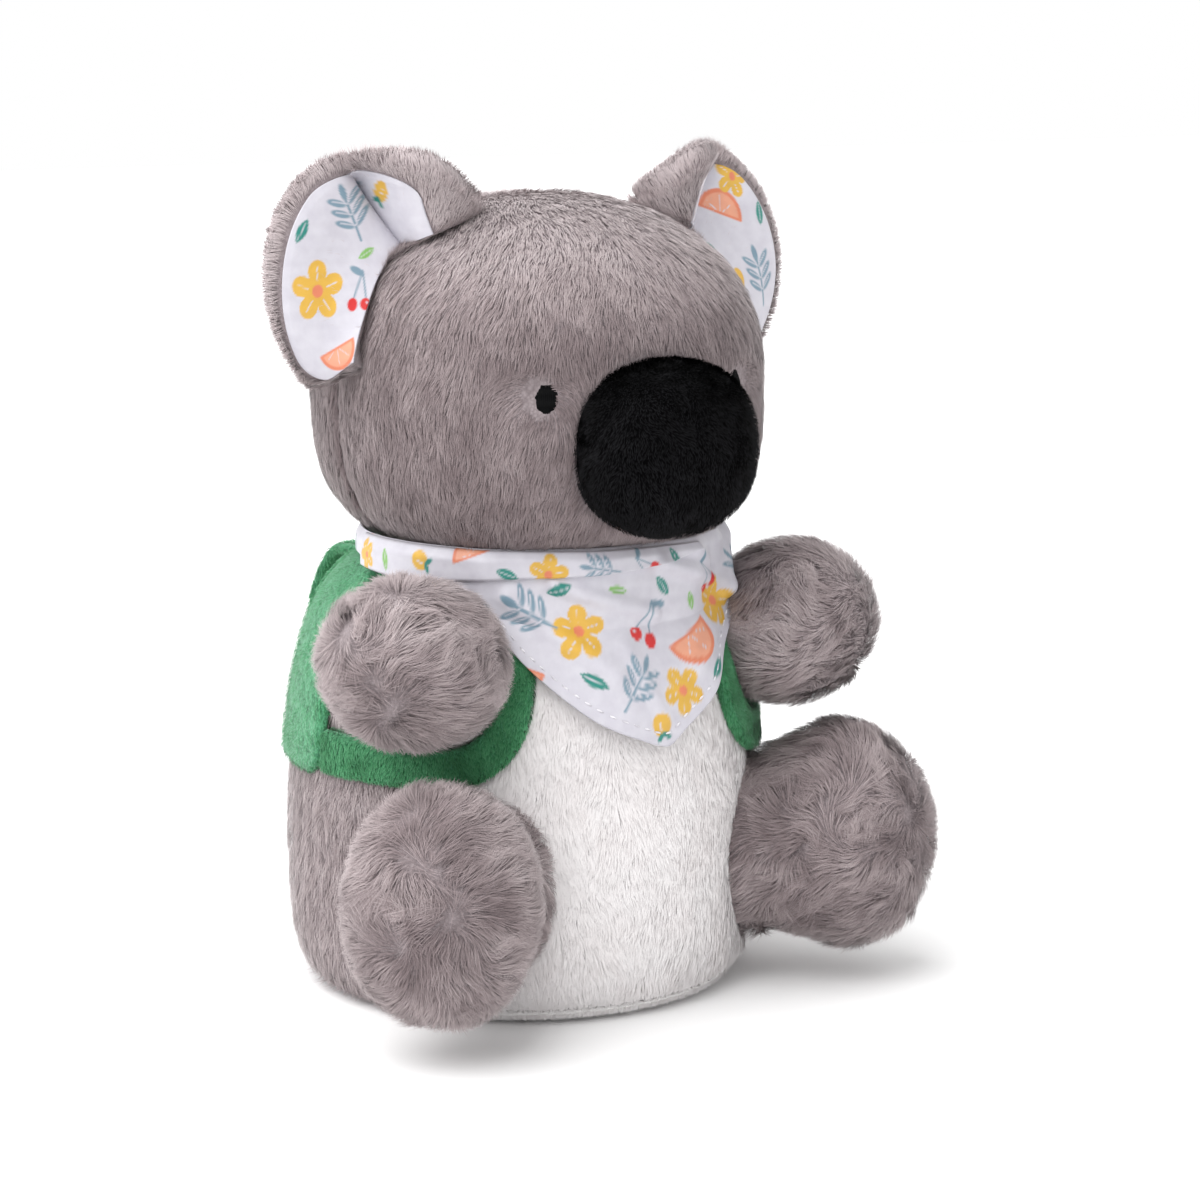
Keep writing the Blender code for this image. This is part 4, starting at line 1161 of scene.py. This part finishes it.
def flap_place(u, v, lift):
    """The flap from its hinge over the pouch's mouth and down its front, narrower at its end."""
    spot = v * (len(FLAP_OUTLINE) - 1)
    y, z = (float(c) for c in on_curve(FLAP_OUTLINE, spot))
    along = unit(on_curve(FLAP_OUTLINE, spot + 0.5) - on_curve(FLAP_OUTLINE, spot - 0.5))
    narrowing = 1 - 0.3 * (max(0.0, v - 0.75) / 0.25) ** 2
    return Vector((FLAP_WIDTH * (u - 0.5) * narrowing, y + along[1] * -lift, z + along[0] * lift))


def flap_outline():
    low, high, mouth = (
        Vector((POUCH_BACK + y * POUCH_DEPTH, POUCH_BOTTOM + z * POUCH_HEIGHT))
        for y, z in POUCH_OUTLINE_SHARES[2:5]
    )
    down = (low - high).normalized()
    outward = Vector((-down.y, down.x))
    hinge_height = POUCH_BOTTOM + POUCH_HEIGHT + FLAP_HINGE_RISE
    hinge = Vector((meridian.radius(hinge_height, PANEL_GAP + MINKY + 2 * GAP) + FLAP_HINGE_OUT, hinge_height))
    over, round_corner = mouth + Vector((FLAP_OVERHANG, FLAP_PROUD)), high + outward * FLAP_PROUD
    end = high.lerp(low, 0.5) + outward * FLAP_END_PROUD
    return curve_through([tuple(point) for point in (hinge, over, round_corner, end)], 6)


FLAP_OUTLINE = flap_outline()


# ---------------------------------------------------------------- build


finish = make_materials()
DENSITY = 1.0
grey_back, green_back = finish["grey_backing"], finish["green_backing"]

# Skins
head_front = head_half("head_front_skin", -1, grey_back)
head_back = head_half("head_back_skin", 1, grey_back)
gap = GAP / TORSO_RADIUS
belly_edge, back_edge = BELLY_HALF_ANGLE - gap, BELLY_HALF_ANGLE + gap
belly = torso_skin("belly_skin", -belly_edge, belly_edge, finish["white_backing"], 52)
back = torso_skin("torso_back_skin", back_edge, math.tau - back_edge, grey_back, 96)
limbs = {}
for side, prefix in SIDES:
    for kind, place, sizes in (("arm", ARM, ARM_SIZES), ("leg", LEG[side], LEG_SIZES)):
        limbs[f"{prefix}_{kind}"] = limb_skin(f"{prefix}_{kind}_skin", side, place, sizes, grey_back)


def head_pins(points, edge):
    """The head's seams, the eyes, the ring under the nose and the neck."""
    eyes = np.hypot(np.abs(points[:, 0]) - EYE_X, points[:, 2] - EYE_Z) < 0.004
    round_nose = np.hypot(points[:, 0], points[:, 2] - NOSE_CENTRE.z) < 0.026
    return edge | ((eyes | round_nose) & (points[:, 1] < FACE_Y)) | (points[:, 2] < 0.125)


def torso_pins(points, edge):
    """The body's seams, and all that lies under straps and bandana."""
    return edge | (points[:, 2] > 0.056)


def limb_pins(points, edge):
    """The seams along a limb's top and bottom, and its root in the body."""
    side = np.sign(points[:, 0].mean())
    high = points[:, 2].mean() > 0.065
    origin, up, across, forward = limb_frame(side, ARM if high else LEG[side])
    away = points - np.array(origin)
    return (np.abs(away @ np.array(across)) < 0.0012) | (away @ np.array(forward) < 0.006)


settle(
    [(skin, head_pins, HEAD_SWELL) for skin in (head_front, head_back)]
    + [(belly, torso_pins, BELLY_SWELL), (back, torso_pins, BACK_SWELL)]
    + [(limb, limb_pins, LIMB_SWELL) for limb in limbs.values()]
)
for skin, body, slot, replaced in (
    (head_front, "head", "grey_plush", "head_front"),
    (head_back, "head", "grey_plush", "head_back"),
    (belly, "torso", "white_plush", "belly_panel"),
    (back, "torso", "grey_plush", "torso_back"),
):
    applied(skin, "SOLIDIFY", thickness=SKIN, offset=-1)
    ready(skin, body, slot, [replaced])
for name, limb in limbs.items():
    ready(limb, name, "grey_plush", [name])


SEAT_FLAT_SHARE, SEAT_RIM_SHARE = 0.8, 0.7


def seat_place(u, v):
    """The flat seat, then its rim up to the seam."""
    angle = math.tau * u
    if v <= SEAT_FLAT_SHARE:
        return on_body(meridian.at(0)[0] * v / SEAT_FLAT_SHARE, 0.0, angle)
    return on_body(*meridian.at(SEAM_ALONG * (v - SEAT_FLAT_SHARE) / (1 - SEAT_FLAT_SHARE)), angle)


def seat_front(x, y):
    """Whether a place on the seat is at its rim, under the white belly."""
    return (np.abs(np.arctan2(x, -y)) < BELLY_HALF_ANGLE) & (np.hypot(x, y) > TORSO_RADIUS * SEAT_RIM_SHARE)


seat = outward_sheet(from_bmesh("seat_skin", grid_bmesh(72, 20, seat_place), grey_back), (0, 0, 0.05))
seat.data.materials.append(finish["white_backing"])
for face in seat.data.polygons:
    face.material_index = int(seat_front(face.center.x, face.center.y))
applied(seat, "SOLIDIFY", thickness=SKIN, offset=-1)
ready(seat, "torso", "grey_plush", ["seat_panel"])

ears, linings = {}, {}
for side, prefix in SIDES:
    name = f"{prefix}_ear"
    ears[name] = ready(ear_pad(name + "_pad", side, grey_back), name, "grey_plush", [name + "_back"])

    def lining_place(u, v, side=side):
        t = between(LINING_SPAN_SHARES, u)
        corner = 1 - min(1.0, u / 0.16, (1 - u) / 0.11)
        top = LINING_RISE_SHARES[1] - 0.36 * (1 - math.sqrt(1 - corner**2))
        s = between((LINING_RISE_SHARES[0], top), v)
        edge = min(u * 0.05, (1 - u) * 0.05, (1 - v) * 0.025)
        lift = 0.0004 + 0.0003 * min(1.0, edge / 0.002)  # flatter at the hem
        return ear_face(side, t, s, ear_half(t) + lift)

    def on_ear(points, side=side):
        rolled = np.maximum(0, -points[:, 1] - 0.006) * 0.8
        return np.stack([side * points[:, 0] - EAR_X - rolled, points[:, 2] - EAR_Z], axis=1) * 1000

    linings[name] = printed_sheet(
        name + "_printed_lining", 180, 72, lining_place, on_ear, EAR_MOTIFS[side], SATIN, -side
    )
    ready(linings[name], name, "printed_satin", [name + "_lining"])


# Face
def face_point(x, z):
    """The head's face at a place seen from ahead, and the way out of it."""
    power = HEAD_CROWN_POWER if z >= HEAD_CENTRE.z else HEAD_JOWL_POWER
    up = math.asin(signed_power((z - HEAD_CENTRE.z) / HEAD_HALF[2], power / 2))
    reach = math.cos(up) ** (2 / power)
    across = math.acos(min(1.0, (abs(x) / HEAD_HALF[0] / reach)) ** (HEAD_PLAN_POWER / 2))
    point = head_point(-across, up)
    outwards = (head_point(-across, up, MM) - point).normalized()
    if x < 0:
        point.x, outwards.x = -point.x, -outwards.x
    return point, outwards


for side, prefix in SIDES:

    def eye_place(u, v, side=side):
        """Rows of satin stitch over a low mound, at the bottom of the eye's dimple."""
        angle = math.tau * u
        uneven = 0.05 * math.sin(2 * angle + 1) + 0.025 * math.sin(7 * angle) + 0.02 * math.sin(13 * angle)
        reach = v * (1 + uneven)
        x = side * (EYE_X - EYE_IN) + EYE_WIDTH * EYE_SHARES[0] * reach * math.cos(angle)
        z = EYE_Z + EYE_TALL * EYE_SHARES[1] * reach * math.sin(angle) - EYE_DOWN
        point, outwards = face_point(x, z)
        mound = EYE_MOUND * math.sqrt(max(0.0, 1 - v**2))
        row = THREAD_RELIEF * math.cos(math.tau * x / THREAD_ROW)
        dimple = dip(math.hypot(x - side * EYE_X, z - EYE_Z), EYE_DIP)
        return point + outwards * (mound + row - dimple - EYE_SUNK)

    name = prefix + "_eye"
    eye = from_bmesh(name + "_satin_stitch", grid_bmesh(72, 24, eye_place), finish["black_thread"])
    ready(outward_sheet(eye, HEAD_CENTRE), "head", "black_thread", [name])

nose_bm = bmesh.new()
bmesh.ops.create_uvsphere(nose_bm, u_segments=72, v_segments=48, radius=1)
nose_middle = NOSE_CENTRE - Vector((0, 0.001, 0.0012))
for vertex in nose_bm.verts:
    square = (signed_power(c, 0.86) for c in vertex.co)
    vertex.co = Vector(a * (b - 0.0009) for a, b in zip(square, NOSE_HALF)) + nose_middle
nose = from_bmesh("nose_velour_cover", nose_bm, finish["black_backing"])
ready(nose, "head", "black_velour", ["nose_cover"])

# Bandana: the hanging cloth, the band folded over its top and its hem stitches
bandana = printed_sheet(
    "bandana_cloth", 620, 70, bandana_place, round_neck, BANDANA_MOTIFS, COTTON, 1, loop=True
)
ready(bandana, "torso", "printed_satin", ["bandana"])


def band_place(u, v, lift):
    from_tip = math.radians(-94 + 112 * u)
    angle = from_tip + BANDANA_TURN
    wide = 0.0072 * (1 - u**3) + 0.0016 + 0.0006 * math.sin(9 * u)
    top = BANDANA_TOP - 0.0004 - 0.001 * u**2
    height = top - wide * (1 - v)
    return on_body(bandana_radius(angle, height) + 0.0010 + lift, height, angle)


band = pillow_sheet(
    "bandana_folded_band", 240, 18, band_place, 0.0013, finish["satin"], rim_within(0.1, 0.008)
)
print_ink(band.data, round_neck(vectors(band.data.vertices)), BAND_MOTIFS)
ready(band, "torso", "printed_satin")

stitch_bm = bmesh.new()
walked, last = 0.0, None
for from_tip in np.radians(np.linspace(-84, 46, 500)):
    low, high = bandana_at(from_tip, 0.0), bandana_at(from_tip, 1.0)
    spot = bandana_at(from_tip, HEM / max((high - low).length, HEM + 0.0001))
    walked += (spot - last).length if last else 0.0
    if last and walked > STITCH_PITCH:
        walked = 0.0
        outward = Vector((spot.x, spot.y, 0)).normalized()
        along = (spot - last).normalized()
        made = bmesh.ops.create_uvsphere(stitch_bm, u_segments=6, v_segments=6, radius=1)["verts"]
        turn = Matrix((along, outward.cross(along), outward)).transposed().to_4x4()
        spread = Matrix.Translation(spot + outward * 0.00098) @ turn @ Matrix.Diagonal(STITCH_HALF)
        bmesh.ops.transform(stitch_bm, matrix=spread, verts=made)
    last = spot
stitches = from_bmesh("bandana_hem_stitches", stitch_bm, finish["white_thread"])
ready(stitches, "torso", "printed_satin")

# Backpack
panel = pillow_sheet(
    "backpack_panel_minky", 120, 44, panel_place, MINKY, green_back, rim_within(0.2, 0.06)
)
ready(panel, "torso", "green_minky", ["backpack_panel"])
straps = {}
for side, prefix in SIDES:
    name = prefix + "_strap"
    straps[name] = pillow_sheet(
        name + "_minky", 110, 14, lambda u, v, lift, side=side: strap_point(side, u, v, GAP + lift), MINKY,
        green_back, lambda u, v: min(v, 1 - v) * STRAP_WIDTH * 0.9,
    )
    ready(straps[name], "torso", "green_minky", [name])
pouch = from_bmesh("backpack_pouch_minky", grid_bmesh(64, 42, pouch_place), green_back)
outward_sheet(pouch, (0, 0.055, 0.085))
applied(pouch, "SOLIDIFY", thickness=POUCH_WALL, offset=-1)
ready(pouch, "torso", "green_minky", ["backpack_pouch"])
flap = pillow_sheet("backpack_flap_minky", 44, 40, flap_place, FLAP, green_back, rim_within(0.045, 0.04))
ready(flap, "backpack_flap", "green_minky", ["backpack_flap"])

# CAD nodes that keep their shape, hidden inside or too small to remake
for name, obj in cad.items():
    if obj.hide_render:
        continue
    key = "filling" if "filling" in name else "bag_cloth" if "bag" in name else "hook_and_loop"
    obj.data.materials.clear()
    obj.data.materials.append(finish[key])

# Pile
over_torso = blockers(bandana, panel, pouch, *straps.values(), *limbs.values())
facing_out_of_head, facing_out_of_body = outer(HEAD_CENTRE), outer((0, 0, 0.055))


def head_length(spots):
    """Shorter at the seam and round the eyes, and none where the eyes' stitches lie."""
    long = HEAD_PILE * (1 - 0.5 * bell(spots[:, 1] - HEAD_SEAM_Y, 0.0022))
    ahead = spots[:, 1] < FACE_Y
    for eye in (-1, 1):
        away = np.hypot(spots[:, 0] - eye * EYE_X, spots[:, 2] - EYE_Z)
        long *= 1 - 0.5 * bell(away, 0.006) * ahead
    across, up = (np.abs(spots[:, 0]) - EYE_X) / EYE_WIDTH, (spots[:, 2] - EYE_Z + EYE_DOWN) / EYE_TALL
    long[ahead & (np.hypot(across, up) < 0.42)] = 0
    return long


def head_painted_light_and_shade(spots):
    """Painted light, lighter on the crown where light falls from above; painted shade, darker along the seam."""
    seam = bell(spots[:, 1] - HEAD_SEAM_Y, 0.0016) * (spots[:, 2] < 0.196)
    return -0.40 + 0.72 * smooth_step(spots[:, 2], 0.178, 0.208) - 0.25 * seam


def in_head(middles, facing):
    """The head's outside, above the collar."""
    return facing_out_of_head(middles, facing) & (middles[:, 2] >= 0.1215)


def belly_length(spots):
    """Shorter where the belly turns under the seat."""
    return 1.2 + 4.8 * smooth_step(spots[:, 2], 0.001, 0.013)


def under(front):
    """The seat's outside, either at its front rim or without it."""
    outside = outer((0, 0, 0.05))
    return lambda middles, facing: outside(middles, facing) & (seat_front(middles[:, 0], middles[:, 1]) == front)


def minky_painted_light(spots):
    """Painted light: the minky lighter towards the top, in patches, where light falls."""
    return 0.4 * smooth_step(spots[:, 2], 0.086, 0.110) * (0.7 + 0.6 * drift(spots, 0.02)[:, 0]) - 0.08


grey, white, green = (
    ("grey_plush", finish["grey_pile"]),
    ("white_plush", finish["white_pile"]),
    ("green_minky", finish["green_pile"]),
)
on_head = dict(
    width=0.16, lean=(22, 2), tangle=(0.13, 0.17), mottle=(0.15, 0.15, 0.075), keep=in_head,
    blocked=blockers(nose), tint=head_painted_light_and_shade,
)
pile("head_front_pile", head_front, "head", *grey, flow_head, head_length, 99000, 1, **on_head)
pile("head_back_pile", head_back, "head", *grey, flow_head, head_length, 80000, 2, **on_head)
on_body_skin = dict(keep=facing_out_of_body, blocked=over_torso)
pile("torso_back_pile", back, "torso", *grey, flow_down, BODY_PILE, 95000, 3, **on_body_skin)
pile(
    "belly_pile", belly, "torso", *white, flow_down, belly_length, 97000, 4, width=0.4, lean=(11, 1),
    tangle=(0.26, 0.14), mottle=(0.08, 0.2, 0.045), **on_body_skin,
)
pile("seat_pile", seat, "torso", *grey, flow_out, SEAT_PILE, 16000, 5, lean=(10, 2), keep=under(False))
pile("seat_front_pile", seat, "torso", *white, flow_in, SEAT_PILE, 18000, 6, lean=(8, 0), keep=under(True))
for index, (side, prefix) in enumerate(SIDES):
    ear = prefix + "_ear"
    # The ears' pile is tinted lighter all over: painted light falling on them from above
    pile(
        ear + "_pile", ears[ear], ear, *grey, flow_ear(side), EAR_PILE, 52000, 10 + index, lean=(30, 3),
        mottle=(0.18, 0.2, 0.09), tint=lambda spots: 0.38, blocked=blockers(linings[ear], head_front, head_back),
    )
    for kind, place, sizes, count in (("arm", ARM, ARM_SIZES, 46000), ("leg", LEG[side], LEG_SIZES, 64000)):
        limb = f"{prefix}_{kind}"
        flow, limb_painted_shade = flow_limb(side, place, sizes)
        pile(
            limb + "_pile", limbs[limb], limb, *grey, flow, LIMB_PILE, count, 20 + index * 2 + (kind == "leg"),
            lean=(36, 8), tangle=(0.2, 0.34), mottle=(0.26, 0.24, 0.1), tint=limb_painted_shade,
        )
pile(
    "nose_pile", nose, "head", "black_velour", finish["black_pile"], flow_nose, NOSE_PILE, 42000, 30, width=0.2,
    tangle=(0.4, 0.5), lean=(58, 34), blocked=blockers(head_front),
)
for name, skin, body, long, count, seed in (
    ("backpack_panel_pile", panel, "torso", MINKY_PILE, 40000, 31),
    ("right_strap_pile", straps["right_strap"], "torso", MINKY_PILE + 0.2, 30000, 32),
    ("left_strap_pile", straps["left_strap"], "torso", MINKY_PILE + 0.2, 30000, 33),
    ("backpack_pouch_pile", pouch, "torso", MINKY_PILE, 34000, 35),
    ("backpack_flap_pile", flap, "backpack_flap", MINKY_PILE, 24000, 36),
):
    pile(
        name, skin, body, *green, flow_down, long, count, seed, lean=(42, 14), width=0.2, tangle=(0.3, 0.2),
        mottle=(0.15, 0.42, 0.07), tint=minky_painted_light,
    )

# ---------------------------------------------------------------- stage

bpy.ops.mesh.primitive_plane_add(size=8, location=(0, 0, 0))
floor = bpy.context.object
floor.name = "studio_floor"
paper, tree, shader = new_material("matt_white_studio_paper", 0.9)
seen = node(tree, "ShaderNodeLightPath")
tones = {6: (0.88, 0.88, 0.88, 1), 7: (1.0, 1.0, 1.0, 1)}
mix = node(tree, "ShaderNodeMix", tones, {0: seen.outputs["Is Camera Ray"]}, data_type="RGBA")
set_colour(tree, shader, mix.outputs[2])
floor.data.materials.append(paper)

# The sky is brighter above; the camera and the gloss see it plain white
world = bpy.data.worlds.new("studio")
bpy.context.scene.world = world
world.use_nodes = True
tree = world.node_tree
background = tree.nodes["Background"]
background.inputs["Color"].default_value = (1, 1, 1, 1)
path = node(tree, "ShaderNodeLightPath")
seen = path.outputs["Is Camera Ray"]
for kind in ("Is Glossy Ray", "Is Transmission Ray"):
    seen = node(tree, "ShaderNodeMath", links={0: seen, 1: path.outputs[kind]}, operation="MAXIMUM").outputs[0]
way = node(tree, "ShaderNodeTexCoord").outputs["Generated"]
height = node(tree, "ShaderNodeSeparateXYZ", links={0: way}).outputs["Z"]
above = node(tree, "ShaderNodeMath", {1: 0.5, 2: 0.54}, {0: height}, operation="MULTIPLY_ADD")
strength = node(tree, "ShaderNodeMix", {3: 1.0}, {0: seen, 2: above.outputs[0]}, data_type="FLOAT")
tree.links.new(strength.outputs[0], background.inputs["Strength"])

sun = bpy.data.lights.new("softbox", "SUN")
sun.energy = 3.0
sun.angle = math.radians(70)
linked("softbox", sun).rotation_euler = (math.radians(34), 0, math.radians(-88))

level = Vector((math.sin(CAMERA_AZIMUTH), -math.cos(CAMERA_AZIMUTH), 0))
back_axis = level * math.cos(CAMERA_ELEVATION) + Vector((0, 0, math.sin(CAMERA_ELEVATION)))
right_axis = Vector((math.cos(CAMERA_AZIMUTH), math.sin(CAMERA_AZIMUTH), 0))
up_axis = back_axis.cross(right_axis)
target = right_axis * CAMERA_TARGET[0] + up_axis * CAMERA_TARGET[1]
lens = bpy.data.cameras.new("camera")
lens.lens, lens.sensor_width = CAMERA_LENS, 36
camera = linked("camera", lens)
turn = Matrix((right_axis, up_axis, back_axis)).transposed().to_4x4()
camera.matrix_world = Matrix.Translation(target + back_axis * CAMERA_DISTANCE) @ turn
bpy.context.scene.camera = camera
bpy.context.scene.view_settings.view_transform = "Standard"
